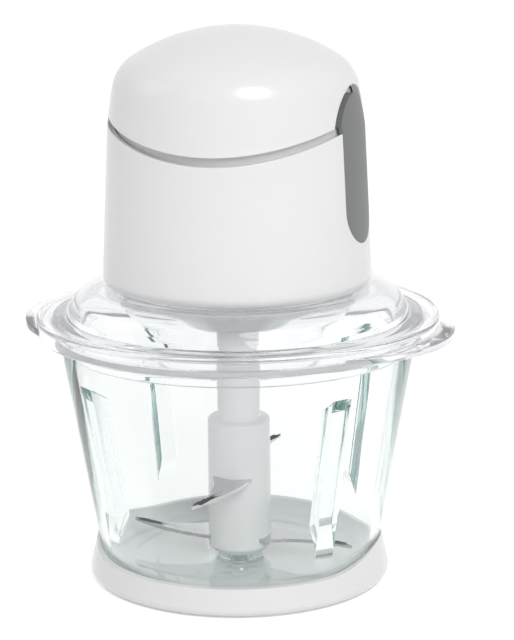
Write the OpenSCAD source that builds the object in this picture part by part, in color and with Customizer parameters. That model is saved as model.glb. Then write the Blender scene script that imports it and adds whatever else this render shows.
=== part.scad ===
// Electric mini chopper: a glass bowl on a foot, a clear lid, and a motor unit whose
// whole domed top is the push button. Millimetres, +Z up, front towards -Y,
// origin at the middle of the surface that it stands on.

/* [Base ring] */
// Width of the foot's top edge outside the bowl
base_lip = 0.45; // [0.3:0.05:1.5]
// How far the foot flares out from its top edge
base_flare = 3.2; // [2:0.1:5]
// Height of the foot's top edge above the table
base_h = 17.7; // [14:0.5:20]
// How far that edge dips at the front and the back
base_dip = 5.4; // [3:0.2:6]
// Wall of the foot
base_wall = 2; // [1.5:0.1:3]
// Height of the rubber pad that lifts the foot off the table
pad_gap = 0.8; // [0.5:0.1:1.5]
// Radius of the middle of the rubber pad
pad_r = 50; // [44:0.5:52]
// Width of the rubber pad
pad_w = 7; // [4:0.5:9]

/* [Glass bowl] */
// Height of the bowl's underside above the table
bowl_z = 4.2; // [3.8:0.1:5]
// Height of the bowl's rim above the table
bowl_rim_z = 103; // [95:1:110]
// Outer radius of the bowl at its rim
bowl_rim_r = 74; // [73:0.2:76]
// Lean of the bowl's wall from upright, in degrees
bowl_lean = 10; // [9:0.2:10.4]
// Glass thickness
glass_t = 3; // [2.4:0.1:3.6]
// Outer radius of the corner between wall and floor
bowl_corner_r = 13; // [10:0.5:16]
// How far each moulded rib stands in from the wall
rib_depth = 6; // [3:0.5:8]
// Width of a rib where it meets the wall
rib_w = 9; // [6:0.5:12]
// Height of the bowl's rim above the ribs' tops
rib_drop = 13; // [10:0.5:25]
// Bearing of the ribs from the front and the back, in degrees
rib_bearing = 48.5; // [40:0.5:52]

/* [Blade] */
// Radius of the pivot pin
pin_r = 3.5; // [3:0.1:4]
// Height of the pivot pin's tip above the bowl's floor
pin_h = 52; // [40:1:56]
// Radius of the blade shaft's tube
tube_r = 9; // [8.6:0.1:9.6]
// Radius of the hub below the tube
hub_r = 13.2; // [11:0.2:15]
// Height of the hub's shoulder above the table
hub_top_z = 65; // [63:1:69]
// Reach of the blades from the axis
blade_reach = 49; // [40:0.5:51]
// Width of a blade at the hub
blade_w = 17; // [14:0.5:20]
// Thickness of a blade
blade_t = 1.4; // [1:0.1:2]
// Height of the lower blade above the hub's underside
lower_blade_rise = 6; // [4:0.5:10]
// Height of the upper blade above the lower one
blade_step = 26; // [20:1:32]

/* [Lid] */
// Reach of the lid's rim past the bowl's
lid_overhang = 9.5; // [8:0.5:12]
// Height of the flange's top above the bowl's rim
flange_rise = 10; // [9:0.2:12]
// Height of the rim from its lower edge to the flange's top
rim_h = 8; // [6:0.5:9]
// Wall of the lid
lid_t = 2.2; // [1.8:0.1:2.6]
// How far the ring's upper edge lies inside the plug's outside
ring_inset = 1.4; // [0.8:0.1:2]
// Height of the ring's upper edge above the flange
ring_rise = 5.9; // [5:0.1:7]
// Reach of the grip lugs past the lid's rim
lug_overhang = 8.2; // [5:0.1:12]
// Radius of a grip lug's outer curve
lug_curve_r = 60; // [52:1:68]
// Turn of the grip lugs from the sides towards the front, in degrees
lug_turn = 12; // [0:1:20]
// Depth of the lid's plug inside the bowl
plug_depth = 5; // [3:0.5:8]
// Radius of the funnel's mouth around the blade shaft
funnel_r = 11.5; // [11:0.1:12.5]
// Depth of the funnel below the lid's plate
funnel_depth = 21.6; // [20:0.2:23]

/* [Motor unit] */
// Height of the motor unit's underside above the lid's flange
body_rise = 12; // [11:0.1:13]
// Radius of the body at its underside
body_bottom_r = 55.6; // [54.6:0.1:56.4]
// Radius of the body at its shoulder
body_top_r = 52.4; // [51.8:0.1:53.2]
// Height of that shoulder above the underside
body_h = 66; // [62:0.5:70]
// Wall of the body
body_wall = 3; // [2.6:0.1:3.4]
// Radius of the body's lower edge
body_edge_r = 4.5; // [3:0.5:5.5]
// Height of the seam above the underside, at the front
seam_z = 56.3; // [54:0.1:60]
// How much the body's seam edge rises at the sides
seam_rise = 11.5; // [9:0.5:13]
// Bearing of the side strips from the front, in degrees
strip_angle = 82; // [70:1:100]
// Half the width of a side strip
strip_half_w = 14.5; // [10:0.5:16]
// Height of a strip's lower end above the underside
strip_bottom = 20; // [12:1:30]
// Depth of the strips' pockets in the body's wall
strip_depth = 1.6; // [1.2:0.1:1.9]
// Height of the cord gland above the underside
gland_rise = 25; // [18:1:36]
// Radius of the bore that the mains cord passes through
cord_bore_r = 3.6; // [3:0.1:4.2]

/* [Button] */
// Width of the seam under the button at the front
seam_gap = 3.6; // [3.4:0.1:4.4]
// How much the button's lower edge rises at the sides
cap_rise = 11; // [10:0.5:14]
// Travel of the button
button_travel = 2.5; // [1.5:0.1:2.5]
// Wall of the button
cap_wall = 1.8; // [1.4:0.1:2.2]
// Radius of the button at the foot of its shoulder
cap_top_r = 50.2; // [49.6:0.1:51]
// Height of the foot of its shoulder above the motor unit's underside
cap_side_h = 81; // [79:0.5:84]
// Radius of the button's shoulder
cap_shoulder_r = 18; // [14:0.5:20]
// Turn of the shoulder before the crown begins, in degrees
cap_shoulder_turn = 58; // [52:1:62]

/* [Gears] */
// Size of the gear teeth
gear_module = 0.75; // [0.7:0.01:0.8]
// Width of the gears
gear_w = 10; // [8:0.5:11]
// Backlash between meshed teeth
backlash = 0.16; // [0.12:0.01:0.2]

/* [Motor] */
// Radius of the motor shaft
shaft_r = 3; // [2.5:0.1:3.4]
// Radius of the armature
armature_r = 14.9; // [13:0.1:15.5]
// Radius of the commutator
commutator_r = 9; // [8:0.1:10]
// Radius of the output shaft
output_r = 4; // [3.5:0.1:4.5]
// Radius across the corners of the drive coupling
coupling_r = 6; // [5.4:0.1:6.3]

/* [Fits] */
// Gap between a turning shaft and its bush
run_gap = 0.05; // [0.02:0.01:0.09]
// Gap between pieces that slide past each other
slide_gap = 0.4; // [0.3:0.05:0.5]
// Gap between pieces that are fixed to each other
fit_gap = 0.1; // [0.05:0.01:0.15]

/* [Hidden] */
$fn = 96;

// Curves and lines that several pieces follow
function arc(cx, cz, r, from, to, steps = 10) =
  [for (i = [0:steps]) let (a = from + (to - from) * i / steps) [cx + r * cos(a), cz + r * sin(a)]];
function bend(a, b, c, steps = 12) =
  [for (i = [0:steps]) let (t = i / steps) (1 - t) * (1 - t) * a + 2 * t * (1 - t) * b + t * t * c];
// Factor that turns a wall's thickness into its width across a 45 degree slope
slope_w = sqrt(2);
// Overlap that fuses two shapes of one piece
fuse = 0.6;
// Height of cuts that run past what they cut
past = 2;

// Bowl
bowl_wall_w = glass_t / cos(bowl_lean);
function bowl_out(z) = bowl_rim_r - (bowl_rim_z - z) * tan(bowl_lean);
function bowl_in(z) = bowl_out(z) - bowl_wall_w;
corner_z = bowl_z + bowl_corner_r;
corner_x = bowl_out(corner_z - bowl_corner_r * sin(bowl_lean)) - bowl_corner_r * cos(bowl_lean);
bowl_floor_z = bowl_z + glass_t;
rim_half = bowl_wall_w / 2;
boss_h = 2.5;
boss_r = pin_r + 5;
pin_seat_z = bowl_z + 1.2;
pin_tip_z = bowl_floor_z + pin_h;
rib_angles = [for (turn = [-90, 90], side = [-1, 1]) turn + side * rib_bearing];
rib_top_z = bowl_rim_z - rib_drop;
rib_foot_z = corner_z + 5;

// Base ring
pad_groove = 2;
base_top_r = bowl_out(base_h) + slide_gap / cos(bowl_lean) + base_lip;
base_r = base_top_r + base_flare;
base_core_r = corner_x + bowl_corner_r + base_wall;
base_core_h = base_h / 2;
base_edge_r = 3;
base_widest_z = pad_gap + base_edge_r;
dip_z = base_h - base_dip;
dip_curve_r = 24;
dip_level_x = base_top_r - 15.5;

// Lid
lid_r = bowl_rim_r + lid_overhang;
lug_reach = lid_r + lug_overhang;
flange_z = bowl_rim_z + flange_rise;
body_z = flange_z + body_rise;
plate_z = body_z;
plug_bottom_z = bowl_rim_z - plug_depth;
plug_r = bowl_in(plug_bottom_z) - slide_gap;
ring_r = plug_r - ring_inset;
ring_z = flange_z + ring_rise;
funnel_z = plate_z - funnel_depth;
shoulder_x = body_bottom_r + 1;
shoulder_dx = ring_r - shoulder_x;
shoulder_dz = plate_z - ring_z;
shoulder_r = (shoulder_dx * shoulder_dx + shoulder_dz * shoulder_dz) / (2 * shoulder_dz);
shoulder_end = acos(shoulder_dx / shoulder_r);
ring_band = [1.7, 2.4];
valley_r = ring_r + 3.7;
rim_edge_r = 1.4;
rim_draft = 0.9;
rim_bottom_z = flange_z - rim_h;
seal_t = 3;
seal_clear = 0.2;
seat_z = bowl_rim_z + seal_t;
seat_r = bowl_rim_r + 2;
funnel_top_r = funnel_r + plate_z - funnel_z;
lug_t = 2.8;
lug_z = rim_bottom_z + 1.2;
guard_t = 1.6;
guard_steps = 10;
guard_top_z = plate_z - lid_t / 2;
guard_low_z = plug_bottom_z + 1;
guard_top_r = shoulder_x - 8.5;
guard_low_r = guard_top_r - 10.7;
function guard_line(inset, order) = [for (i = order) let (t = i / guard_steps)
  [guard_low_r - inset + (guard_top_r - guard_low_r) * (1 + cos(180 * t)) / 2,
   guard_top_z + (guard_low_z - guard_top_z) * t]];

// Blade
hub_bottom_z = bowl_floor_z + boss_h + slide_gap;
hub_core_r = pin_r + 2.5;
hub_chamfer = hub_r - tube_r;
shaft_top_z = funnel_z + 2.6;
socket_depth = 12;
lower_blade_z = hub_bottom_z + lower_blade_rise;
upper_blade_z = lower_blade_z + blade_step;

// Motor unit
body_shoulder_z = body_z + body_h;
cap_side_z = body_z + cap_side_h;
function body_r(z) = body_bottom_r + (body_top_r - body_bottom_r) * (z - body_z) / body_h;
cover_t = 2.5;
cover_top_z = body_z + cover_t;
cover_r = body_bottom_r - body_edge_r - 2.5;
wall_foot_z = cover_top_z + 4;
front_seam_z = body_z + seam_z;
side_seam_z = front_seam_z + seam_rise;
seam_curve_r = (body_top_r * body_top_r + seam_rise * seam_rise) / (2 * seam_rise);
cap_curve_r = (body_top_r * body_top_r + cap_rise * cap_rise) / (2 * cap_rise);
ledge_drop = 12.8;
ledge_z = front_seam_z - ledge_drop;
ledge_t = 2.5;
ledge_top_z = ledge_z + ledge_t;
collar_inset = 3.6;
collar_r = body_top_r - collar_inset;
collar_wall = 2.4;
collar_in_r = collar_r - collar_wall;
collar_top_z = cap_side_z + 2;
collar_narrowing = (body_top_r - cap_top_r) / (cap_side_z - body_shoulder_z);
collar_top_r = collar_r - collar_narrowing * (collar_top_z - body_shoulder_z);
collar_lip = 1.8;
shelf_z = body_shoulder_z - 3;
shelf_t = 2;
shelf_top_z = shelf_z + shelf_t;
strip_arc_z = front_seam_z + 3.3;
strip_top_r = strip_half_w + 1.9;
arch_h = 1.28 * strip_top_r;
arch_gap = button_travel + 0.7;
function arch(r, h) = [for (p = arc(0, 0, 1, 0, 180, 24)) [r * p.x, strip_arc_z + h * p.y]];
strip_round_z = body_z + strip_bottom + strip_half_w;
tongue_z = side_seam_z + 0.3;
gland_z = body_z + gland_rise;
gland_r = cord_bore_r + 3.2;
gland_flange_r = gland_r + 2.8;
gland_flange_t = 2;
gland_length = 9;
gland_face_y = body_r(gland_z - gland_flange_r) + fit_gap;
nose_bottom_z = shaft_top_z + 1.2;
function nose_r(z) = funnel_r + z - funnel_z - slope_w * slide_gap;
boss_screw_r = 1.5;
cover_boss_r = 4.4;
cover_boss_x = cover_r - cover_boss_r - 0.4;
cover_boss_h = 12;
cover_screw_angles = [45:90:315];
cover_head_r = 3;
cover_head_h = 1.7;

// Button
cap_lean = atan((body_top_r - cap_top_r) / (cap_side_z - body_shoulder_z));
cap_x = cap_top_r - cap_shoulder_r * cos(cap_lean);
cap_z = cap_side_z - cap_shoulder_r * sin(cap_lean);
crown_r = cap_x / cos(cap_shoulder_turn) + cap_shoulder_r;
crown_z = cap_z + (cap_shoulder_r - crown_r) * sin(cap_shoulder_turn);
plate_low_z = cap_z + 9.6;
plate_t = 2.5;
plate_top_z = plate_low_z + plate_t;
plate_rise = plate_top_z - cap_z;
plate_reach = cap_shoulder_r - cap_wall;
plate_r = cap_x + sqrt(plate_reach * plate_reach - plate_rise * plate_rise) - 0.3;
plate_hole_r = 14;
cap_boss_x = 27;
cap_boss_r = 3.5;
cap_boss_angles = [30:120:270];
cap_boss_top_z = crown_z + sqrt(crown_r * crown_r - cap_boss_x * cap_boss_x) - cap_wall;
guide_r = 3;
guide_x = plate_r - guide_r - 0.4;
guide_bottom_z = shelf_z - 0.3;
stop_head_r = 4.6;
stop_head_t = 2;
stop_screw_h = 10;
button_head_r = 2.8;
button_head_t = 2;
spring_r = 4.2;
spring_wire_r = 0.5;
spring_turns = 6;
spring_steps = 12;
spring_sides = 6;
shelf_in_r = guide_x - spring_r - spring_wire_r - 0.2;

// Gear train
pinion_teeth = 18;
ring_teeth = 3 * pinion_teeth;
pressure = 20;
function pitch_r(teeth) = teeth * gear_module / 2;
planet_x = 2 * pitch_r(pinion_teeth);
planet_count = 3;
planet_angles = [for (i = [0:planet_count - 1]) i * 360 / planet_count];
tooth_up = 0.9 * gear_module;
tooth_down = 1.25 * gear_module;
ring_root_r = pitch_r(ring_teeth) + tooth_down;
case_r = ring_root_r + 3;
case_flange_r = case_r + 5.8;
case_floor = 2;
side_play = 0.5;
carrier_z = cover_top_z + case_floor + side_play;
carrier_t = 3;
gear_z = carrier_z + carrier_t + side_play;
gear_top_z = gear_z + gear_w;
case_top_z = gear_top_z + 1.5;
planet_pin_r = 2;
carrier_r = planet_x + planet_pin_r + 2;
case_screw_x = case_r + 2.8;
case_screw_angles = [30:120:270];
case_screw_bite = 4.5;
bush_wall = 3;
coupling_low_z = shaft_top_z - socket_depth + 0.6;
coupling_top_z = nose_bottom_z - 0.4;

// Motor
bracket_t = 3;
bracket_top_z = case_top_z + bracket_t;
bush_r = shaft_r + bush_wall;
bush_h = 5;
hub_wall = 3;
fan_z = case_top_z + bush_h + 1;
fan_h = 4.5;
fan_r = 23;
fan_blades = 9;
coil_h = 4.4;
coil_gap = 0.3;
stack_z = fan_z + fan_h + coil_h + coil_gap + 1.3;
button_clear = 2;
shaft_top_end_z = plate_low_z - button_travel - button_clear;
top_bush_h = 4;
top_bracket_z = shaft_top_end_z - top_bush_h - 1;
top_bracket_t = 2.5;
commutator_h = 10;
commutator_z = top_bracket_z - commutator_h - 1;
stack_top_z = commutator_z - 5;
stack_h = stack_top_z - stack_z;
stack_r = guide_x - stop_head_r - 1;
stack_half_y = 27;
bore_r = armature_r + 0.4;
coil_in_r = bore_r + 0.9;
coil_out_r = coil_in_r + 5.6;
coil_from = 4;
coil_to = 24;
through_x = 28;
through_r = 4.4;
through_screw_r = 1.6;
brush_w = 5.2;
brush_h = 6.2;
brush_gap = 0.3;
holder_wall = 1.3;
holder_reach = 26;
holder_h = commutator_h + 0.4;

// Board and switch
board_w = 36;
board_t = 1.6;
board_z = cover_top_z + 2;
board_h = 55;
post_x = 14;
post_size = 7;
post_h = 9;
switch_w = 20;
switch_d = 10;
switch_h = 14;
switch_clear = 2;
switch_drop = 6;
switch_reach = collar_in_r - switch_clear;
board_y = sqrt(switch_reach * switch_reach - switch_w * switch_w / 4) - switch_d - board_t;
switch_y = board_y + board_t + switch_d / 2;
switch_top_z = shelf_z - switch_drop;
switch_z = switch_top_z - switch_h;
plunger_r = 1.8;
plunger_rise = 4;
plunger_depth = 5;
stem_r = 3.2;

// Plain shapes that several pieces use
module turned(points) { rotate_extrude() polygon(points); }
module tube(r_out, r_in, z, h) {
  translate([0, 0, z]) difference() {
    cylinder(r = r_out, h = h);
    translate([0, 0, -past]) cylinder(r = r_in, h = h + 2 * past);
  }
}
module rod(x, y, z, r, h) { translate([x, y, z]) cylinder(r = r, h = h); }
module around(angles, x) { for (a = angles) rotate(a) translate([x, 0, 0]) children(); }
module screw(head_r, head_t, shank_r, shank_h) {
  translate([0, 0, -head_t]) cylinder(r = head_r, h = head_t);
  cylinder(r = shank_r, h = shank_h);
}

// Involute teeth: half the angle of a tooth at radius r, wider or narrower by half the play
function involute(angle) = tan(angle) * 180 / PI - angle;
function tooth_half(r, teeth, play) =
  let (p = pitch_r(teeth), base = p * cos(pressure), a = r > base ? acos(base / r) : 0)
  90 / teeth + involute(pressure) - involute(a) - play / (2 * p) * 180 / PI;
function flank_point(r, middle, side, teeth, play) =
  let (a = middle + side * tooth_half(r, teeth, play)) [r * cos(a), r * sin(a)];
function gear_outline(teeth, up, down, play) =
  let (p = pitch_r(teeth), low = p - down, high = p + up, steps = 4)
  [for (k = [0:teeth - 1]) each concat(
    [for (i = [0:steps]) flank_point(low + (high - low) * i / steps, k * 360 / teeth, -1, teeth, play)],
    [for (i = [steps:-1:0]) flank_point(low + (high - low) * i / steps, k * 360 / teeth, 1, teeth, play)])];
module gear(teeth, bore) {
  difference() {
    linear_extrude(gear_w) polygon(gear_outline(teeth, tooth_up, tooth_down, backlash / 2));
    translate([0, 0, -past]) cylinder(r = bore, h = gear_w + 2 * past);
  }
}

// Base ring
module base_ring() {
  color("white") difference() {
    turned(concat(
      [[0, pad_gap]],
      arc(base_r - base_edge_r, base_widest_z, base_edge_r, -90, 0),
      [[base_top_r, base_h], [0, base_h]]));
    bowl_seat();
    base_scoop();
    turned([
      [base_core_r, -past], [base_r - base_wall, -past], [base_r - base_wall, base_widest_z],
      [max(base_core_r + 0.5, base_top_r - base_wall), base_core_h], [base_core_r, base_core_h]]);
    tube(pad_r + pad_w / 2, pad_r - pad_w / 2, -past, past + pad_gap + pad_groove);
  }
}

// What the foot's edge leaves open at the front and the back, curving up to the sides
module base_scoop() {
  rotate([90, 0, 0]) linear_extrude(4 * base_r, center = true) polygon(concat(
    arc(-dip_level_x, dip_z + dip_curve_r, dip_curve_r, 200, 270),
    arc(dip_level_x, dip_z + dip_curve_r, dip_curve_r, 270, 340)));
}

// The room that the bowl needs in the base ring, open to the top
module bowl_seat() {
  top = base_h + past;
  turned(concat(
    [[0, bowl_z], [corner_x, bowl_z]],
    arc(corner_x, corner_z, bowl_corner_r + slide_gap, -90, -bowl_lean),
    [[bowl_out(top) + slide_gap / cos(bowl_lean), max(top, corner_z)], [0, max(top, corner_z)]]));
}

module base_pad() {
  color("dimgray")
    tube(pad_r + pad_w / 2 - fit_gap, pad_r - pad_w / 2 + fit_gap, 0, pad_gap + pad_groove);
}

// Bowl
module glass_bowl() {
  color([0.8, 0.88, 0.9, 0.4]) difference() {
    union() {
      turned(concat(
        [[0, bowl_z]],
        arc(corner_x, corner_z, bowl_corner_r, -90, -bowl_lean),
        arc(bowl_out(bowl_rim_z - rim_half) - rim_half, bowl_rim_z - rim_half, rim_half, 0, 180),
        arc(corner_x, corner_z, bowl_corner_r - glass_t, -bowl_lean, -90),
        [[0, bowl_floor_z]]));
      rod(0, 0, bowl_floor_z - fuse, boss_r, boss_h + fuse);
      around(rib_angles, 0) bowl_rib();
    }
    rod(0, 0, pin_seat_z, pin_r + fit_gap, pin_h);
  }
}

module bowl_rib() {
  foot = 2 * rib_depth;
  translate([0, rib_w / 2, 0]) rotate([90, 0, 0]) linear_extrude(rib_w) polygon([
    [bowl_in(rib_foot_z) + fuse, rib_foot_z],
    [bowl_in(rib_foot_z + foot) - rib_depth, rib_foot_z + foot],
    [bowl_in(rib_top_z - rib_depth) - rib_depth, rib_top_z - rib_depth],
    [bowl_in(rib_top_z) + fuse, rib_top_z]]);
}

module pivot_pin() {
  color("silver") {
    rod(0, 0, pin_seat_z, pin_r, pin_tip_z - pin_r - pin_seat_z);
    translate([0, 0, pin_tip_z - pin_r]) sphere(r = pin_r);
  }
}

// Blade
module blade_shaft() {
  color("whitesmoke") difference() {
    turned([
      [0, hub_bottom_z], [hub_r, hub_bottom_z], [hub_r, hub_top_z - hub_chamfer / 2],
      [tube_r + hub_chamfer / 2, hub_top_z], [tube_r, hub_top_z], [tube_r, shaft_top_z], [0, shaft_top_z]]);
    rod(0, 0, hub_bottom_z - past, pin_r + run_gap, pin_tip_z + run_gap - hub_bottom_z + past);
    translate([0, 0, shaft_top_z - socket_depth])
      cylinder(r = coupling_r + slide_gap, h = socket_depth + past, $fn = 6);
    blade_slot(lower_blade_z, 0);
    blade_slot(upper_blade_z, 90);
  }
}

module blade_slot(z, angle) {
  slot = [2 * hub_r + past, blade_w + 2 * fit_gap, blade_t + 2 * fit_gap];
  translate([0, 0, z]) rotate(angle) difference() {
    cube(slot, center = true);
    cylinder(r = hub_core_r, h = slot.z + past, center = true);
  }
}

// One wing sweeps back to its tip, and the other is the same turned half round
module blade(z, angle) {
  tip = [blade_reach, -blade_w / 2];
  color("silver") translate([0, 0, z - blade_t / 2]) rotate(angle) difference() {
    linear_extrude(blade_t) for (a = [0, 180]) rotate(a) polygon(concat(
      bend([0, blade_w / 2], [blade_reach / 2, blade_w / 2], tip),
      bend(tip, [blade_reach * 0.6, -blade_w / 10], [hub_r, -blade_w / 2]),
      [[0, -blade_w / 2]]));
    translate([0, 0, -past]) cylinder(r = hub_core_r + fit_gap, h = blade_t + 2 * past);
  }
}
module lower_blade() { blade(lower_blade_z, 0); }
module upper_blade() { blade(upper_blade_z, 90); }

// Lid
module lid() {
  color([0.85, 0.88, 0.92, 0.4]) {
    turned(concat(
      [[funnel_r, funnel_z], [funnel_top_r, plate_z]],
      arc(shoulder_x, plate_z - shoulder_r, shoulder_r, 90, shoulder_end),
      [[ring_r + ring_band.x, ring_z - ring_band.y], [valley_r, flange_z]],
      arc(lid_r - rim_edge_r, flange_z - rim_edge_r, rim_edge_r, 90, 0),
      [[lid_r - rim_draft, rim_bottom_z], [lid_r - rim_draft - lid_t, rim_bottom_z],
       [lid_r - lid_t, flange_z - lid_t], [seat_r, flange_z - lid_t], [seat_r, seat_z],
       [plug_r, seat_z], [plug_r, plug_bottom_z], [plug_r - lid_t, plug_bottom_z],
       [plug_r - lid_t, flange_z]],
      arc(shoulder_x, plate_z - shoulder_r, shoulder_r - lid_t, shoulder_end, 90),
      [[funnel_top_r + (slope_w - 1) * lid_t, plate_z - lid_t], [funnel_r + slope_w * lid_t, funnel_z]]));
    for (turn = [0, 180]) rotate(turn - lug_turn) lid_lug();
    turned(concat(guard_line(0, [0:guard_steps]), guard_line(guard_t, [guard_steps:-1:0])));
  }
}

// Crescent that the fingers lift the lid by
module lid_lug() {
  skirt_r = lid_r - rim_draft - lid_t / 2;
  translate([0, 0, lug_z]) difference() {
    translate([lug_reach - lug_curve_r, 0, 0]) cylinder(r = lug_curve_r, h = lug_t);
    translate([0, 0, -past]) cylinder(r = skirt_r, h = lug_t + 2 * past);
  }
}

module lid_seal() {
  low = bowl_rim_z + seal_clear;
  color("gainsboro") tube(seat_r, plug_r + fit_gap, low, seat_z - low);
}

// Outside of the body and of the foot of the button, drawn in by inset
module body_form(inset, low_z) {
  turned([
    [0, low_z], [body_r(low_z) - inset, low_z], [body_top_r - inset, body_shoulder_z],
    [cap_top_r - inset, cap_side_z], [0, cap_side_z]]);
}

// What lies above a seam that dips to z at the front and rises to the sides along a cylinder
module above_seam(z, curve_r) {
  translate([0, 0, z + curve_r]) rotate([90, 0, 0])
    cylinder(r = curve_r, h = 4 * body_bottom_r, center = true, $fn = 360);
}

module motor_housing() {
  edge_z = body_z + body_edge_r;
  color("white") difference() {
    union() {
      difference() {
        turned(concat(
          [[0, body_z]],
          arc(body_r(edge_z) - body_edge_r, edge_z, body_edge_r, -90, 0),
          [[body_top_r, body_shoulder_z], [0, body_shoulder_z]]));
        turned([
          [0, body_z - past], [cover_r + fit_gap, body_z - past], [cover_r + fit_gap, cover_top_z],
          [body_r(wall_foot_z) - body_wall, wall_foot_z],
          [body_top_r - body_wall, body_shoulder_z + past], [0, body_shoulder_z + past]]);
      }
      tube(body_r(ledge_top_z) - body_wall / 2, collar_in_r, ledge_z, ledge_t);
      around(cover_screw_angles, cover_boss_x) housing_boss();
    }
    above_seam(front_seam_z, seam_curve_r);
    for (turn = [0, 180]) difference() {
      strip_outline(turn, fit_gap);
      body_form(strip_depth + fit_gap, body_z);
    }
    gland_place() rod(0, 0, -gland_length - past, gland_r + fit_gap, gland_length + 2 * past);
    around(cover_screw_angles, cover_boss_x)
      rod(0, 0, cover_top_z - past, boss_screw_r + fit_gap, cover_boss_h + past - 1);
  }
}

// Boss for a cover screw, tied to the wall by a web
module housing_boss() {
  web = body_r(wall_foot_z) - body_wall / 2 - cover_boss_x;
  rod(0, 0, cover_top_z, cover_boss_r, cover_boss_h);
  translate([0, -cover_boss_r / 2, cover_top_z + cover_t]) cube([web, cover_boss_r, cover_boss_h - cover_t]);
}

// Bar with the side strip's outline, square to the wall that carries the strip
module strip_outline(turn, gap) {
  rotate(strip_angle - 90 + turn) rotate([90, 0, 90]) linear_extrude(2 * body_bottom_r) {
    translate([0, strip_round_z]) circle(r = strip_half_w + gap);
    translate([-strip_half_w - gap, strip_round_z])
      square([2 * (strip_half_w + gap), strip_arc_z - strip_round_z + fuse]);
    intersection() {
      polygon(arch(strip_top_r + gap, arch_h + gap));
      translate([-strip_half_w - gap, strip_arc_z - fuse])
        square([2 * (strip_half_w + gap), arch_h + gap + 2 * fuse]);
    }
  }
}

// Inlay let into the wall, with a thicker tongue that stands on above the seam
module side_strip(turn) {
  color([0.52, 0.53, 0.54]) intersection() {
    strip_outline(turn, 0);
    difference() {
      body_form(0, body_z);
      difference() {
        body_form(strip_depth, body_z);
        difference() {
          translate([0, 0, tongue_z]) cylinder(r = 2 * body_bottom_r, h = body_h);
          body_form(collar_inset - fit_gap, body_z);
        }
      }
    }
  }
}
module side_strip_right() { side_strip(0); }
module side_strip_left() { side_strip(180); }

module bottom_cover() {
  bore = output_r + bush_wall + fit_gap;
  color("white") difference() {
    union() {
      turned([
        [bore, nose_bottom_z], [nose_r(nose_bottom_z), nose_bottom_z], [nose_r(body_z), body_z],
        [cover_r, body_z], [cover_r, cover_top_z], [bore, cover_top_z]]);
      for (x = [-post_x, post_x]) board_post(x);
    }
    translate([-board_w / 2, board_y - fit_gap, board_z]) cube([board_w, board_t + 2 * fit_gap, post_h]);
    around(cover_screw_angles, cover_boss_x) {
      rod(0, 0, body_z - past, cover_head_r + fit_gap, cover_head_h + past);
      rod(0, 0, body_z, boss_screw_r + fit_gap, cover_t + past);
    }
    around(case_screw_angles, case_screw_x)
      rod(0, 0, cover_top_z - case_screw_bite, boss_screw_r + fit_gap, case_screw_bite + past);
  }
}

// Slotted post that holds the circuit board upright
module board_post(x) {
  translate([x - post_size / 2, board_y + board_t / 2 - post_size / 2, cover_top_z - fuse])
    cube([post_size, post_size, post_h + fuse]);
}

module cover_screws() {
  color("gray") around(cover_screw_angles, cover_boss_x) translate([0, 0, body_z + cover_head_h])
    screw(cover_head_r, cover_head_h, boss_screw_r, cover_boss_h - 2);
}

// Sleeve that guides the button and closes the view under it, with a shelf for the springs
// and a foot on the housing's ledge
module top_cover() {
  foot_t = 2;
  color("lightgray") difference() {
    union() {
      turned([
        [collar_in_r, ledge_top_z], [collar_r, ledge_top_z], [collar_r, body_shoulder_z],
        [collar_top_r, collar_top_z], [collar_top_r - collar_lip, collar_top_z],
        [collar_in_r, body_shoulder_z]]);
      tube(body_r(ledge_top_z + foot_t) - body_wall - fit_gap, collar_in_r, ledge_top_z, foot_t);
      tube(collar_in_r + fuse, shelf_in_r, shelf_z, shelf_t);
    }
    around([0, 180], guide_x) rod(0, 0, shelf_z - past, guide_r + slide_gap, shelf_t + 2 * past);
    rod(0, switch_y, shelf_z - past, stem_r + slide_gap, shelf_t + 2 * past);
  }
}

// Puts a bush on the rear wall, with its flange's face at the origin
module gland_place() { translate([0, gland_face_y, gland_z]) rotate([-90, 0, 0]) children(); }

module cord_gland() {
  color("dimgray") gland_place() difference() {
    union() {
      rod(0, 0, -gland_length, gland_r, gland_length + fuse);
      rod(0, 0, 0, gland_flange_r, gland_flange_t);
    }
    rod(0, 0, -gland_length - past, cord_bore_r, gland_length + gland_flange_t + 2 * past);
  }
}

// Button
function cap_outline(inset, low_z) = concat(
  [[0, low_z], [body_r(low_z) - inset, low_z], [body_top_r - inset, body_shoulder_z]],
  arc(cap_x, cap_z, cap_shoulder_r - inset, cap_lean, cap_shoulder_turn),
  arc(0, crown_z, crown_r - inset, cap_shoulder_turn, 90));

module button_cap() {
  color("white") {
    difference() {
      intersection() {
        difference() {
          turned(cap_outline(0, front_seam_z));
          turned(cap_outline(cap_wall, front_seam_z - past));
        }
        above_seam(front_seam_z + seam_gap, cap_curve_r);
      }
      for (turn = [0, 180]) rotate(strip_angle - 90 + turn) rotate([90, 0, 90])
        linear_extrude(2 * body_bottom_r) polygon(arch(strip_top_r + seam_gap, arch_h + arch_gap));
    }
    around(cap_boss_angles, cap_boss_x) difference() {
      rod(0, 0, plate_top_z, cap_boss_r, cap_boss_top_z - plate_top_z);
      rod(0, 0, plate_top_z - past, boss_screw_r + fit_gap, cap_boss_top_z - plate_top_z - cap_wall + past);
    }
  }
}

module button_plate() {
  stem_low_z = switch_top_z + plunger_rise;
  color("whitesmoke") difference() {
    union() {
      tube(plate_r, plate_hole_r, plate_low_z, plate_t);
      around([0, 180], guide_x) rod(0, 0, guide_bottom_z, guide_r, plate_low_z - guide_bottom_z + fuse);
      rod(0, switch_y, stem_low_z, stem_r, plate_low_z - stem_low_z + fuse);
    }
    around(cap_boss_angles, cap_boss_x)
      rod(0, 0, plate_low_z - past, boss_screw_r + fit_gap, plate_t + 2 * past);
    around([0, 180], guide_x) rod(0, 0, guide_bottom_z - past, boss_screw_r + fit_gap, stop_screw_h + past);
  }
}

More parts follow.
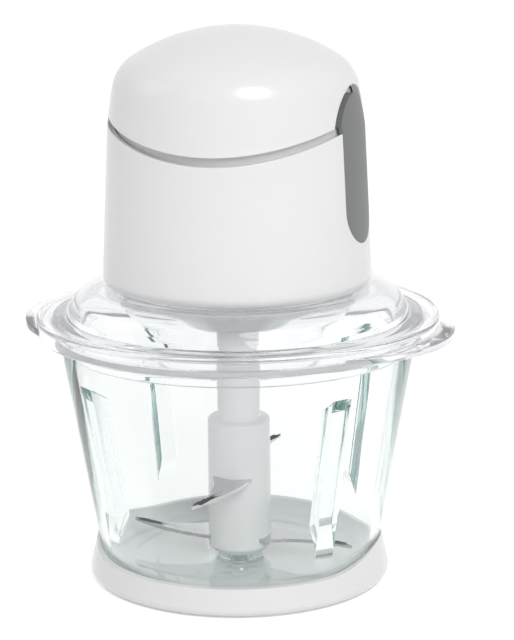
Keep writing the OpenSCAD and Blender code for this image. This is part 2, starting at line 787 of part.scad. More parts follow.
module button_screws() {
  color("gray") around(cap_boss_angles, cap_boss_x) translate([0, 0, plate_low_z])
    screw(button_head_r, button_head_t, boss_screw_r, plate_t + 4);
}

module stop_screws() {
  color("gray") around([0, 180], guide_x) translate([0, 0, guide_bottom_z])
    screw(stop_head_r, stop_head_t, boss_screw_r, stop_screw_h - 1);
}

// Coil springs around the button's guide posts, from the shelf up to the plate
spring_low_z = shelf_top_z + spring_wire_r;
spring_high_z = plate_low_z - spring_wire_r;
function spring_point(t) =
  [spring_r * cos(360 * t), spring_r * sin(360 * t),
   spring_low_z + (spring_high_z - spring_low_z) * t / spring_turns];
function spring_ring(t) =
  [for (k = [0:spring_sides - 1]) let (a = 360 * k / spring_sides, out = spring_wire_r * cos(a))
    spring_point(t) + [out * cos(360 * t), out * sin(360 * t), spring_wire_r * sin(a)]];
spring_rings = spring_turns * spring_steps;
function spring_gap() =
  min([for (i = [0:spring_rings - spring_steps]) let (t = i / spring_steps)
    norm(spring_point(t + 1) - spring_point(t))]) - 2 * spring_wire_r;
echo(least_gap_between_spring_turns = spring_gap());

module return_spring() {
  n = spring_sides;
  points = [for (i = [0:spring_rings]) each spring_ring(i / spring_steps)];
  sides = [for (i = [0:spring_rings - 1], k = [0:n - 1])
    let (a = i * n + k, b = i * n + (k + 1) % n) each [[a, a + n, b], [b, a + n, b + n]]];
  last = spring_rings * n;
  ends = [for (k = [1:n - 2]) each [[0, k, k + 1], [last, last + k + 1, last + k]]];
  polyhedron(points, concat(sides, ends));
}

module return_springs() { color("silver") around([0, 180], guide_x) return_spring(); }

// Gear train
module gear_case() {
  color("lightsteelblue") difference() {
    union() {
      rod(0, 0, cover_top_z, case_r, case_top_z - cover_top_z);
      rod(0, 0, cover_top_z, case_flange_r, carrier_z - cover_top_z);
      around([0, 180], through_x) rod(0, 0, cover_top_z, through_r, case_top_z - cover_top_z);
    }
    rod(0, 0, cover_top_z - past, output_r + 1, 2 * past + case_floor);
    rod(0, 0, cover_top_z + case_floor, ring_root_r + side_play, side_play + carrier_t);
    translate([0, 0, gear_z - 2 * side_play]) rotate(180 / ring_teeth) linear_extrude(case_top_z)
      polygon(gear_outline(ring_teeth, tooth_down, tooth_up, -backlash / 2));
    around([0, 180], through_x) rod(0, 0, gear_z, through_screw_r + fit_gap, case_top_z);
    post_room();
    around(case_screw_angles, case_screw_x) rod(0, 0, cover_top_z - past, boss_screw_r + fit_gap, gear_w);
  }
}

// Flat that leaves room on the case's flange for the posts that hold the circuit board
module post_room() {
  half = post_x + post_size / 2 + slide_gap;
  translate([-half, board_y + board_t / 2 - post_size / 2 - slide_gap, cover_top_z - past])
    cube([2 * half, case_flange_r, post_h + 2 * past]);
}

module gear_case_screws() {
  color("gray") around(case_screw_angles, case_screw_x) translate([0, 0, carrier_z]) rotate([180, 0, 0])
    screw(2.6, 2, boss_screw_r, carrier_z - cover_top_z + case_screw_bite - 0.5);
}

module planet_carrier() {
  color("silver") difference() {
    rod(0, 0, carrier_z, carrier_r, carrier_t);
    rod(0, 0, carrier_z - past, output_r + fit_gap, carrier_t + 2 * past);
    around(planet_angles, planet_x)
      rod(0, 0, carrier_z - past, planet_pin_r + fit_gap, carrier_t + 2 * past);
  }
}

module planet_pins() {
  color("gray") around(planet_angles, planet_x)
    rod(0, 0, carrier_z, planet_pin_r, gear_top_z + side_play - carrier_z);
}

module planet_gear(i) {
  color("ivory") rotate(planet_angles[i]) translate([planet_x, 0, gear_z]) rotate(180 / pinion_teeth)
    gear(pinion_teeth, planet_pin_r + run_gap);
}
module planet_gear_1() { planet_gear(0); }
module planet_gear_2() { planet_gear(1); }
module planet_gear_3() { planet_gear(2); }

module sun_pinion() { color("silver") translate([0, 0, gear_z]) gear(pinion_teeth, shaft_r + fit_gap); }

module output_shaft() {
  color("gray") rod(0, 0, coupling_low_z, output_r, carrier_z + carrier_t - coupling_low_z);
}

module output_bush() {
  color("peru") tube(output_r + bush_wall, output_r + run_gap, nose_bottom_z, cover_top_z - nose_bottom_z);
}

module drive_coupling() {
  color("whitesmoke") difference() {
    translate([0, 0, coupling_low_z]) cylinder(r = coupling_r, h = coupling_top_z - coupling_low_z, $fn = 6);
    rod(0, 0, coupling_low_z - past, output_r + fit_gap, coupling_top_z - coupling_low_z + 2 * past);
  }
}

// Motor
module lower_bracket() {
  color("lightgray") difference() {
    union() {
      rod(0, 0, case_top_z, case_r, bracket_t);
      rod(0, 0, case_top_z, bush_r + hub_wall, bush_h);
      around([0, 180], through_x) rod(0, 0, case_top_z, through_r, stack_z - case_top_z);
    }
    rod(0, 0, case_top_z - past, bush_r + fit_gap, bush_h + 2 * past);
    through_holes();
  }
}

module through_holes() {
  around([0, 180], through_x) rod(0, 0, gear_z, through_screw_r + fit_gap, top_bracket_z);
}

module upper_bracket() {
  color("lightgray") difference() {
    union() {
      bar = 2 * through_r;
      translate([-through_x, -bar / 2, top_bracket_z]) cube([2 * through_x, bar, top_bracket_t]);
      translate([-bar / 2, -holder_reach, top_bracket_z]) cube([bar, 2 * holder_reach, top_bracket_t]);
      rod(0, 0, top_bracket_z, bush_r + hub_wall, top_bush_h);
      around([0, 180], through_x)
        rod(0, 0, stack_top_z, through_r, top_bracket_z + top_bracket_t - stack_top_z);
    }
    rod(0, 0, top_bracket_z - past, bush_r + fit_gap, top_bush_h + 2 * past);
    through_holes();
  }
}

module motor_bushes() {
  color("peru") {
    tube(bush_r, shaft_r + run_gap, case_top_z, bush_h);
    tube(bush_r, shaft_r + run_gap, top_bracket_z, top_bush_h);
  }
}

module motor_screws() {
  low = gear_z + 1;
  top = top_bracket_z + top_bracket_t;
  color("gray") around([0, 180], through_x) translate([0, 0, top]) rotate([180, 0, 0])
    screw(through_screw_r + 1.6, 2, through_screw_r, top - low);
}

// Part of a ring, from one bearing to another
module sector(r_in, r_out, z, h, from, to) {
  translate([0, 0, z]) rotate(from) rotate_extrude(angle = to - from)
    translate([r_in, 0]) square([r_out - r_in, h]);
}

module stator_stack() {
  window = coil_to + 2;
  color("slategray") difference() {
    intersection() {
      rod(0, 0, stack_z, stack_r, stack_h);
      translate([-stack_r, -stack_half_y, stack_z]) cube([2 * stack_r, 2 * stack_half_y, stack_h]);
    }
    rod(0, 0, stack_z - past, bore_r, stack_h + 2 * past);
    for (a = [0, 180]) rotate(a)
      sector(armature_r, coil_out_r + coil_gap, stack_z - past, stack_h + 2 * past, -window, window);
    through_holes();
  }
}

module field_coils() {
  low = stack_z - coil_gap - coil_h;
  high = stack_top_z + coil_gap;
  color("chocolate") for (a = [0, 180]) rotate(a) difference() {
    sector(coil_in_r, coil_out_r, low, high + coil_h - low, coil_from, 180 - coil_from);
    sector(bore_r, coil_out_r + past, low + coil_h, high - low - coil_h, coil_to, 180 - coil_to);
  }
}

module motor_shaft() { color("silver") rod(0, 0, gear_z, shaft_r, shaft_top_end_z - gear_z); }

module armature() { color("slategray") tube(armature_r, shaft_r + fit_gap, stack_z, stack_h); }

module armature_winding() {
  color("chocolate") for (z = [stack_z - coil_h, stack_top_z])
    tube(armature_r - 2.4, shaft_r + fit_gap, z, coil_h);
}

module commutator() { color("peru") tube(commutator_r, shaft_r + fit_gap, commutator_z, commutator_h); }

module cooling_fan() {
  hub = shaft_r + hub_wall;
  skin = 1.2;
  color("dimgray") difference() {
    union() {
      rod(0, 0, fan_z, hub, fan_h);
      rod(0, 0, fan_z, fan_r, skin);
      for (i = [1:fan_blades]) rotate(i * 360 / fan_blades) translate([hub - fuse, -skin / 2, fan_z])
        cube([fan_r - skin - hub, skin, fan_h]);
    }
    rod(0, 0, fan_z - past, shaft_r + fit_gap, fan_h + 2 * past);
  }
}

module brush_holders() {
  box = [brush_w + 2 * (holder_wall + fit_gap), holder_reach - commutator_r - 1.2, holder_h];
  slot = [brush_w + 2 * fit_gap, box.y + 2 * past, brush_h + 2 * fit_gap];
  color("goldenrod") for (a = [0, 180]) rotate(a)
    translate([0, holder_reach - box.y / 2, top_bracket_z - box.z / 2]) difference() {
      cube(box, center = true);
      cube(slot, center = true);
    }
}

module carbon_brushes() {
  reach = 12;
  color("black") for (a = [0, 180]) rotate(a)
    translate([-brush_w / 2, commutator_r + brush_gap, top_bracket_z - holder_h / 2 - brush_h / 2])
      cube([brush_w, reach, brush_h]);
}

// Board and switch
module circuit_board() {
  color("seagreen") translate([-board_w / 2, board_y, board_z]) cube([board_w, board_t, board_h]);
}

module switch_body() {
  plunger_room = plunger_depth + button_travel + slide_gap;
  color("black") difference() {
    translate([-switch_w / 2, board_y + board_t, switch_z]) cube([switch_w, switch_d, switch_h]);
    rod(0, switch_y, switch_top_z - plunger_room, plunger_r + run_gap, switch_h);
  }
}

module switch_plunger() {
  color("red") rod(0, switch_y, switch_top_z - plunger_depth, plunger_r, plunger_depth + plunger_rise);
}

base_ring();
base_pad();
glass_bowl();
pivot_pin();
blade_shaft();
lower_blade();
upper_blade();
lid();
lid_seal();
motor_housing();
bottom_cover();
cover_screws();
top_cover();
side_strip_right();
side_strip_left();
cord_gland();
gear_case();
gear_case_screws();
output_bush();
lower_bracket();
upper_bracket();
motor_bushes();
motor_screws();
stator_stack();
field_coils();
brush_holders();
carbon_brushes();
circuit_board();
switch_body();
switch_plunger();
button_cap();
button_plate();
button_screws();
stop_screws();
return_springs();
motor_shaft();
armature();
armature_winding();
commutator();
cooling_fan();
sun_pinion();
planet_carrier();
planet_pins();
output_shaft();
drive_coupling();
planet_gear_1();
planet_gear_2();
planet_gear_3();
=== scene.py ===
import math

import bpy
from mathutils import Matrix, Vector


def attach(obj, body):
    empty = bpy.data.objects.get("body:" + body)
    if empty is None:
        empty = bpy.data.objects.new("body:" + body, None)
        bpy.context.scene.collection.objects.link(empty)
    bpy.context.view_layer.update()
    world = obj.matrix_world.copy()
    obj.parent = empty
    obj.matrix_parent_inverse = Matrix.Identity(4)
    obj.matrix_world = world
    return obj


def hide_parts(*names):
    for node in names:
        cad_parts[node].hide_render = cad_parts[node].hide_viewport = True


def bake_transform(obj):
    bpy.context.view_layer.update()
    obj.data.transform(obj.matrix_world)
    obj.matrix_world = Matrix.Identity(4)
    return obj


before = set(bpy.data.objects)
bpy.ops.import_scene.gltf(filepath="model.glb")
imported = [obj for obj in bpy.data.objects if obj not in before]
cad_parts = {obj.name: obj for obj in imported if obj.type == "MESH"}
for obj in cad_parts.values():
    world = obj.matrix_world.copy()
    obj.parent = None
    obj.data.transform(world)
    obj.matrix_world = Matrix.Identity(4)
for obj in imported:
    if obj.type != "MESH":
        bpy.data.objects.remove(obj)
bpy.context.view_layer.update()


# Stage: the place from which the object is seen, a plain pale floor, a large soft lamp in front
# and to the right, a weaker one on the left, and a pale room all round.
stage = bpy.context.scene
stage.view_settings.view_transform = "Standard"
camera_data = bpy.data.cameras.new("camera")
camera_data.lens = 137.638
camera_data.clip_end = 50
camera = bpy.data.objects.new("camera", camera_data)
camera.location = (0.21544, -0.96382, 0.3396)
camera.rotation_euler = [math.radians(a) for a in (76.8356, 0.4265, 12.0385)]
stage.collection.objects.link(camera)
stage.camera = camera

# light crosses many walls of glass and clear plastic before it comes out again
clear_walls = 64
stage.cycles.max_bounces = clear_walls
stage.cycles.glossy_bounces = clear_walls
stage.cycles.transmission_bounces = clear_walls

lamp_aim = Vector((0, 0, 0.11))


def lamp(name, place, size, power):
    """A round soft lamp that points at the middle of the object."""
    data = bpy.data.lights.new(name, "AREA")
    data.shape = "DISK"
    data.size = size
    data.energy = power
    light = bpy.data.objects.new(name, data)
    light.location = place
    light.rotation_euler = (lamp_aim - Vector(place)).to_track_quat("-Z", "Y").to_euler()
    stage.collection.objects.link(light)


lamp("front_lamp", place=(0.75, -1.25, 1.15), size=0.9, power=12)
lamp("left_lamp", place=(-1.5, -0.3, 0.9), size=0.8, power=1)


def seen_directly(tree):
    """1 where the camera, a reflection or clear material looks, 0 where only light is gathered."""
    path = tree.nodes.new("ShaderNodeLightPath")
    seen = path.outputs["Is Camera Ray"]
    for ray in ("Is Glossy Ray", "Is Transmission Ray"):
        larger = tree.nodes.new("ShaderNodeMath")
        larger.operation = "MAXIMUM"
        tree.links.new(seen, larger.inputs[0])
        tree.links.new(path.outputs[ray], larger.inputs[1])
        seen = larger.outputs[0]
    return seen


room_light = 0.55
room_behind_camera = 0.65
backdrop_side = (-0.21, 0.95, 0.0)
shade_from, shade_to = -0.35, 0.3
world = bpy.data.worlds.new("room")
stage.world = world
world.use_nodes = True
tree = world.node_tree
background = tree.nodes["Background"]
background.inputs["Color"].default_value = (1, 1, 1, 1)
direction = tree.nodes.new("ShaderNodeTexCoord")
towards = tree.nodes.new("ShaderNodeVectorMath")
towards.operation = "DOT_PRODUCT"
towards.inputs[1].default_value = backdrop_side
tree.links.new(direction.outputs["Generated"], towards.inputs[0])
shade = tree.nodes.new("ShaderNodeMapRange")
shade.inputs["From Min"].default_value = shade_from
shade.inputs["From Max"].default_value = shade_to
shade.inputs["To Min"].default_value = room_behind_camera
shade.inputs["To Max"].default_value = 1.0
tree.links.new(towards.outputs["Value"], shade.inputs["Value"])
level = tree.nodes.new("ShaderNodeMix")
level.inputs["A"].default_value = room_light
tree.links.new(seen_directly(tree), level.inputs["Factor"])
tree.links.new(shade.outputs["Result"], level.inputs["B"])
straight = tree.nodes.new("ShaderNodeMix")
straight.inputs["B"].default_value = 1.0
camera_path = tree.nodes.new("ShaderNodeLightPath")
tree.links.new(camera_path.outputs["Is Camera Ray"], straight.inputs["Factor"])
tree.links.new(level.outputs["Result"], straight.inputs["A"])
tree.links.new(straight.outputs["Result"], background.inputs["Strength"])

floor_radius, floor_tone, floor_lift = 6, 0.9, 0.5
bpy.ops.object.select_all(action="DESELECT")
bpy.ops.mesh.primitive_circle_add(vertices=96, radius=floor_radius, fill_type="NGON")
floor = bpy.context.object
floor.name = "floor"
floor_finish = bpy.data.materials.new("floor_paint")
floor.data.materials.append(floor_finish)
floor_finish.use_nodes = True
tree = floor_finish.node_tree
paint = tree.nodes["Principled BSDF"]
paint.inputs["Base Color"].default_value = (floor_tone, floor_tone, floor_tone, 1)
paint.inputs["Roughness"].default_value = 0.9
paint.inputs["Specular IOR Level"].default_value = 0
paint.inputs["Emission Color"].default_value = (1, 1, 1, 1)
lift = tree.nodes.new("ShaderNodeMath")
lift.operation = "MULTIPLY"
lift.inputs[1].default_value = floor_lift
tree.links.new(seen_directly(tree), lift.inputs[0])
tree.links.new(lift.outputs[0], paint.inputs["Emission Strength"])


# Base ring: the white foot that the glass bowl stands in, injection moulded in gloss plastic,
# flared at the bottom, with a dished seat on top, an edge that dips at the front and back, and a
# groove for the rubber pad underneath.
mm = 0.001
pole = 0.004


def rounded(points, steps=5):
    """Closed outline through (radius, height, rounding) corners, in millimetres."""
    outline = []
    for i, (r, z, rounding) in enumerate(points):
        here = Vector((r, z))
        if not rounding:
            outline.append(here)
            continue
        before = (Vector(points[i - 1][:2]) - here).normalized()
        after = (Vector(points[(i + 1) % len(points)][:2]) - here).normalized()
        half = before.angle(after) / 2
        centre = here + (before + after).normalized() * rounding / math.sin(half)
        first = here + before * rounding / math.tan(half) - centre
        last = here + after * rounding / math.tan(half) - centre
        turn = math.pi - 2 * half
        for k in range(steps + 1):
            there, back = math.sin(turn * k / steps), math.sin(turn * (1 - k / steps))
            outline.append(centre + (first * back + last * there) / math.sin(turn))
    return [(max(p.x, pole), p.y) for p in outline]


def finish_shape(smooth_below=35):
    """Closes seams and poles, turns all faces outwards and shades the curved ones smooth."""
    bpy.ops.mesh.select_all(action="SELECT")
    bpy.ops.mesh.remove_doubles(threshold=0.01 * mm)
    bpy.ops.mesh.delete_loose()
    bpy.ops.mesh.select_all(action="SELECT")
    bpy.ops.mesh.normals_make_consistent(inside=False)
    bpy.ops.object.mode_set(mode="OBJECT")
    bpy.ops.object.shade_smooth_by_angle(angle=math.radians(smooth_below))


def turned(name, outline, sides=192):
    """A ring drawn through every point of a closed outline, as a lathe would leave it."""
    bpy.ops.object.select_all(action="DESELECT")
    bpy.ops.mesh.primitive_circle_add(vertices=sides, radius=outline[0][0] * mm)
    piece = bpy.context.object
    piece.name = name
    bpy.ops.object.mode_set(mode="EDIT")
    bpy.ops.mesh.select_all(action="SELECT")
    bpy.ops.transform.translate(value=(0, 0, outline[0][1] * mm))
    for (r, z), (next_r, next_z) in zip(outline, outline[1:] + outline[:1]):
        bpy.ops.mesh.extrude_region_move(TRANSFORM_OT_translate={"value": (0, 0, (next_z - z) * mm)})
        bpy.ops.transform.resize(value=(next_r / r, next_r / r, 1), center_override=(0, 0, next_z * mm))
    finish_shape()
    return piece


def add_socket(group, name, way, kind="NodeSocketFloat"):
    return group.interface.new_socket(name=name, in_out=way, socket_type=kind)


# shared by the finishes: slow changes of tone over a surface, and a fine skin left by the mould
surface_marks = bpy.data.node_groups.new("surface_marks", "ShaderNodeTree")
add_socket(surface_marks, "Patch Scale", "INPUT")
add_socket(surface_marks, "Skin Scale", "INPUT")
add_socket(surface_marks, "Tone", "OUTPUT")
add_socket(surface_marks, "Height", "OUTPUT")
marks_in = surface_marks.nodes.new("NodeGroupInput")
marks_out = surface_marks.nodes.new("NodeGroupOutput")
marks_place = surface_marks.nodes.new("ShaderNodeTexCoord")
for given, result, detail in (("Patch Scale", "Tone", 4), ("Skin Scale", "Height", 2)):
    cloud = surface_marks.nodes.new("ShaderNodeTexNoise")
    cloud.inputs["Detail"].default_value = detail
    surface_marks.links.new(marks_place.outputs["Object"], cloud.inputs["Vector"])
    surface_marks.links.new(marks_in.outputs[given], cloud.inputs["Scale"])
    surface_marks.links.new(cloud.outputs["Fac"], marks_out.inputs[result])


def finish(name, dark, light, rough, patch=14, skin=1400, skin_depth=0.004, **fixed):
    """A surface whose colour and roughness wander a little, with a fine skin; fixed sets plain sockets."""
    material = bpy.data.materials.new(name)
    material.use_nodes = True
    tree = material.node_tree
    shader = tree.nodes["Principled BSDF"]
    marks = tree.nodes.new("ShaderNodeGroup")
    marks.node_tree = surface_marks
    marks.inputs["Patch Scale"].default_value = patch
    marks.inputs["Skin Scale"].default_value = skin
    colour = tree.nodes.new("ShaderNodeMix")
    colour.data_type = "RGBA"
    colour.inputs[6].default_value = (*dark, 1)
    colour.inputs[7].default_value = (*light, 1)
    tree.links.new(marks.outputs["Tone"], colour.inputs[0])
    tree.links.new(colour.outputs[2], shader.inputs["Base Color"])
    gloss = tree.nodes.new("ShaderNodeMapRange")
    gloss.inputs["From Min"].default_value = 0.3
    gloss.inputs["From Max"].default_value = 0.7
    gloss.inputs["To Min"].default_value = rough[0]
    gloss.inputs["To Max"].default_value = rough[1]
    tree.links.new(marks.outputs["Tone"], gloss.inputs["Value"])
    tree.links.new(gloss.outputs["Result"], shader.inputs["Roughness"])
    bump = tree.nodes.new("ShaderNodeBump")
    bump.inputs["Strength"].default_value = 0.5
    bump.inputs["Distance"].default_value = skin_depth * mm
    tree.links.new(marks.outputs["Height"], bump.inputs["Height"])
    tree.links.new(bump.outputs["Normal"], shader.inputs["Normal"])
    for socket, value in fixed.items():
        shader.inputs[socket.replace("_", " ")].default_value = value
    return material


def place_piece(piece, material, body, slot, *nodes):
    """The piece takes its finish, moves with its body and stands for its nodes."""
    piece.data.materials.clear()
    piece.data.materials.append(material)
    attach(piece, body)
    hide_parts(*nodes)


white_gloss = finish("white_gloss", dark=(0.885, 0.885, 0.888), light=(0.9, 0.9, 0.903), rough=(0.22, 0.27),
                     Coat_Weight=0.25)
base_top, base_foot = 17.7, 0.8
seat_z, seat_r = 4.15, 45.6
dish_z, dish_r_low, dish_rounding = 3.8, 56.9, 13.4
lip_inside, lip_outside, foot_outside = 59.37, 59.82, 63.55
pad_inside, pad_outside, pad_groove_z = 46.5, 53.5, 2.8
base_ring = turned("base_ring_moulding", rounded([
    (0, seat_z, 0), (seat_r, seat_z, 0), (seat_r, dish_z, 0), (dish_r_low, dish_z, dish_rounding),
    (lip_inside, base_top, 0.12), (lip_outside, base_top, 0.2), (foot_outside, base_foot, 3.2),
    (60.6, base_foot, 0.4), (60.4, 5.2, 1), (55.6, 4.2, 0.8), (55.4, base_foot, 0.4),
    (pad_outside + 0.1, base_foot, 0.3), (pad_outside, pad_groove_z, 0), (pad_inside, pad_groove_z, 0),
    (pad_inside - 0.1, base_foot, 0.3), (0, base_foot, 0)], 8), 256)
base_dip, dip_curve, dip_level, dip_reach, still_below = 5.4, 24, 44.3, 20, 8
dish_lean, dish_straight_above, dish_centre = 0.1777, 14.87, 45.65


def foot_r(z):
    return lip_outside + (foot_outside - lip_outside) * (base_top - z) / (base_top - base_foot)


def dish_r(z):
    if z > dish_straight_above:
        return dish_r_low + dish_lean * (z - dish_z)
    return dish_centre + math.sqrt(dish_rounding ** 2 - (dish_z + dish_rounding - z) ** 2)


for point in base_ring.data.vertices:
    r, z = math.hypot(point.co.x, point.co.y) / mm, point.co.z / mm
    if z > still_below:
        past_level = min(max(abs(point.co.x) / mm - dip_level, 0), dip_reach)
        edge = base_top - base_dip + dip_curve - math.sqrt(dip_curve ** 2 - past_level ** 2)
        edge = min(edge, base_top)
        z_new = still_below + (z - still_below) * (edge - still_below) / (base_top - still_below)
        side = foot_r if 2 * r > foot_r(z) + dish_r(z) else dish_r
        reach = 1 + (side(z_new) - side(z)) / r
        point.co = Vector((point.co.x * reach, point.co.y * reach, z_new * mm))
place_piece(base_ring, white_gloss, "base", "white_plastic", "base_ring")


# Rubber pad: a soft ring pressed into the groove under the base ring, with two round grooves in
# its sole so that it grips a wet worktop.
pad_rubber = finish("pad_rubber", dark=(0.03, 0.03, 0.032), light=(0.06, 0.06, 0.062), rough=(0.6, 0.8),
                    skin=900, skin_depth=0.02)
pad_gap, pad_top, sole_depth = 0.1, 2.75, 0.7
sole = [(pad_outside - pad_gap, pad_top, 0.2), (pad_outside - pad_gap, 0, 0.5)]
for groove_r in (51.4, 48.6):
    sole += [(groove_r + 0.7, 0, 0.2), (groove_r + 0.4, sole_depth, 0.2),
             (groove_r - 0.4, sole_depth, 0.2), (groove_r - 0.7, 0, 0.2)]
sole += [(pad_inside + pad_gap, 0, 0.5), (pad_inside + pad_gap, pad_top, 0.2)]
base_pad = turned("base_pad_ring", rounded(sole, 3))
place_piece(base_pad, pad_rubber, "base", "rubber_pad", "base_pad")


# Glass bowl: clear pressed glass with a leaning wall, a heavy rounded floor with a boss in its
# middle for the pin, and four upright bars moulded on the inside that stir the food.
def clear_finish(name, tint, ior, rough, depth_tint, density):
    """Clear material: its tint wanders a little, faint streaks break up its gloss, and depth colours it."""
    edge = [0.985 * t for t in tint]
    shadow_tint = [0.98 * t for t in tint]
    material = finish(name, edge, tint, rough, patch=9, skin=160, skin_depth=0.006,
                      Transmission_Weight=1.0, IOR=ior)
    tree = material.node_tree
    path = tree.nodes.new("ShaderNodeLightPath")
    light_only = tree.nodes.new("ShaderNodeMath")
    light_only.operation = "MAXIMUM"
    tree.links.new(path.outputs["Is Shadow Ray"], light_only.inputs[0])
    tree.links.new(path.outputs["Is Diffuse Ray"], light_only.inputs[1])
    passed = tree.nodes.new("ShaderNodeBsdfTransparent")
    passed.inputs["Color"].default_value = (*shadow_tint, 1)
    choice = tree.nodes.new("ShaderNodeMixShader")
    tree.links.new(light_only.outputs[0], choice.inputs[0])
    tree.links.new(tree.nodes["Principled BSDF"].outputs[0], choice.inputs[1])
    tree.links.new(passed.outputs[0], choice.inputs[2])
    tree.links.new(choice.outputs[0], tree.nodes["Material Output"].inputs["Surface"])
    depth = tree.nodes.new("ShaderNodeVolumeAbsorption")
    depth.inputs["Color"].default_value = (*depth_tint, 1)
    depth.inputs["Density"].default_value = density
    tree.links.new(depth.outputs["Volume"], tree.nodes["Material Output"].inputs["Volume"])
    return material


def joined(copies, name):
    """Like shapes as one piece."""
    bpy.ops.object.select_all(action="DESELECT")
    for copy in copies:
        copy.select_set(True)
    bpy.context.view_layer.objects.active = copies[0]
    bpy.ops.object.join()
    copies[0].name = name
    return copies[0]


def combine(piece, tool, operation):
    """Fuses the tool into the piece, so that no wall is left inside it, or cuts it out of the piece."""
    bpy.ops.object.select_all(action="DESELECT")
    piece.select_set(True)
    bpy.context.view_layer.objects.active = piece
    fuse = piece.modifiers.new("fuse", "BOOLEAN")
    fuse.operation = operation
    fuse.solver = "EXACT"
    fuse.object = tool
    bpy.ops.object.modifier_apply(modifier="fuse")
    bpy.data.objects.remove(tool)
    bpy.ops.object.mode_set(mode="EDIT")
    finish_shape()


def copies_around(piece, angles):
    """The piece turned to each angle about the upright axis, each with its own mesh."""
    made = []
    for angle in angles:
        copy = piece.copy()
        copy.data = piece.data.copy()
        copy.data.transform(Matrix.Rotation(math.radians(angle), 4, "Z"))
        bpy.context.scene.collection.objects.link(copy)
        made.append(copy)
    bpy.data.objects.remove(piece)
    return made


bowl_glass = clear_finish("bowl_glass", tint=(0.985, 0.992, 0.99), ior=1.5, rough=(0.0, 0.02),
                          depth_tint=(0.2, 0.5, 0.47), density=8)
bowl_under, bowl_floor, bowl_rim = 4.2, 7.2, 103
rim_outside, rim_inside, foot_corner, floor_corner = 74, 70.954, 56.58, 54.06
pin_boss_top, pin_hole_r, pin_foot = 9.7, 3.65, 5.4
glass_bowl = turned("glass_bowl_pressing", rounded([
    (0, bowl_under, 0), (foot_corner, bowl_under, 13), (rim_outside, bowl_rim, 1.5),
    (rim_inside, bowl_rim, 1.5), (floor_corner, bowl_floor, 10), (9.4, bowl_floor, 0.8),
    (8.5, pin_boss_top, 0.6), (pin_hole_r, pin_boss_top, 0.15), (pin_hole_r, pin_foot, 0),
    (0, pin_foot, 0)], 10), 256)
bar_half_width, bar_edge, bar_bearings = 4.5, 0.5, (41.5, 138.5, 221.5, 318.5)
# (radius, height) of the bar's corners: 1 is outside or top, -1 inside or bottom
bar_ends = {(1, -1): (57.3, 22.2), (-1, -1): (52.8, 34.2), (-1, 1): (61.6, 84), (1, 1): (69.3, 90)}
bpy.ops.object.select_all(action="DESELECT")
bpy.ops.mesh.primitive_cube_add(size=2)
bar = bpy.context.object
for corner in bar.data.vertices:
    r, z = bar_ends[round(corner.co.x), round(corner.co.z)]
    corner.co = Vector((r, bar_half_width * corner.co.y, z)) * mm
bpy.ops.object.mode_set(mode="EDIT")
bpy.ops.mesh.select_all(action="SELECT")
bpy.ops.mesh.bevel(offset=bar_edge * mm, segments=3, affect="EDGES")
bpy.ops.object.mode_set(mode="OBJECT")
combine(glass_bowl, joined(copies_around(bar, bar_bearings), "bars"), "UNION")
place_piece(glass_bowl, bowl_glass, "bowl", "bowl_glass", "glass_bowl")


# Pivot pin: a ground stainless pin cemented into the bowl's boss, with a domed tip that the
# blade shaft turns on.
pin_steel = finish("pin_steel", dark=(0.5, 0.5, 0.51), light=(0.6, 0.6, 0.61), rough=(0.15, 0.3), patch=60,
                   Metallic=1.0)
pin_r, pin_tip, neck_r, neck_low, neck_high = 3.5, 59.2, 3.25, 56.6, 57.2
pivot_pin = turned("pivot_pin_ground", rounded([
    (0, pin_foot, 0), (pin_r, pin_foot, 0.4), (pin_r, neck_high, 0), (neck_r, neck_high, 0),
    (neck_r, neck_low, 0), (pin_r, neck_low, 0), (pin_r, pin_tip, 3.3), (0, pin_tip, 0)]), 48)
place_piece(pivot_pin, pin_steel, "bowl", "blade_steel", "pivot_pin")


# Blade shaft: a white plastic tube on a wider hub. It drops over the pin, its hexagon socket on
# top takes the drive coupling, and the two blades are moulded into slots in the hub.
def cut_plate(name, outline, low, high):
    """A flat plate with that outline, in millimetres, from one height to another."""
    bpy.ops.object.select_all(action="DESELECT")
    bpy.ops.mesh.primitive_circle_add(vertices=len(outline), radius=1, fill_type="NGON")
    plate = bpy.context.object
    plate.name = name
    for corner, (x, y) in zip(plate.data.vertices, outline):
        corner.co = Vector((x, y, low)) * mm
    bpy.ops.object.mode_set(mode="EDIT")
    bpy.ops.mesh.select_all(action="SELECT")
    bpy.ops.mesh.extrude_region_move(TRANSFORM_OT_translate={"value": (0, 0, (high - low) * mm)})
    return plate


def hexagon(r):
    return [(r * math.cos(math.radians(60 * k)), r * math.sin(math.radians(60 * k))) for k in range(6)]


tube_r, hub_r, pin_bore_r = 9, 13.2, 3.55
shaft_low, shaft_high, bore_end, socket_floor = 10.1, 106, 59.25, 94
blade_shaft = turned("blade_shaft_moulding", rounded([
    (pin_bore_r, bore_end, 0), (pin_bore_r, shaft_low, 0.4), (11, shaft_low, 0.5), (hub_r, 12.5, 1),
    (hub_r, 64.6, 1.2), (9.4, 65.4, 0.8), (tube_r, 67, 2), (tube_r, shaft_high, 0.8), (0, shaft_high, 0),
    (0, bore_end, 0)], 6), 96)
socket = cut_plate("socket", hexagon(6.4), socket_floor, shaft_high + 1)
finish_shape()
combine(blade_shaft, socket, "DIFFERENCE")
place_piece(blade_shaft, white_gloss, "blade", "white_plastic", "blade_shaft")


# Blades: two S-shaped stainless blades stamped from strip and ground to an edge, one low over
# the floor and one higher up, set a quarter turn apart.
def curve(start, pull, end, steps=14):
    """Points of a bow from start towards end, drawn towards pull; the end itself is left out."""
    return [tuple((1 - t) ** 2 * a + 2 * t * (1 - t) * b + t * t * c for a, b, c in zip(start, pull, end))
            for t in (k / steps for k in range(steps))]


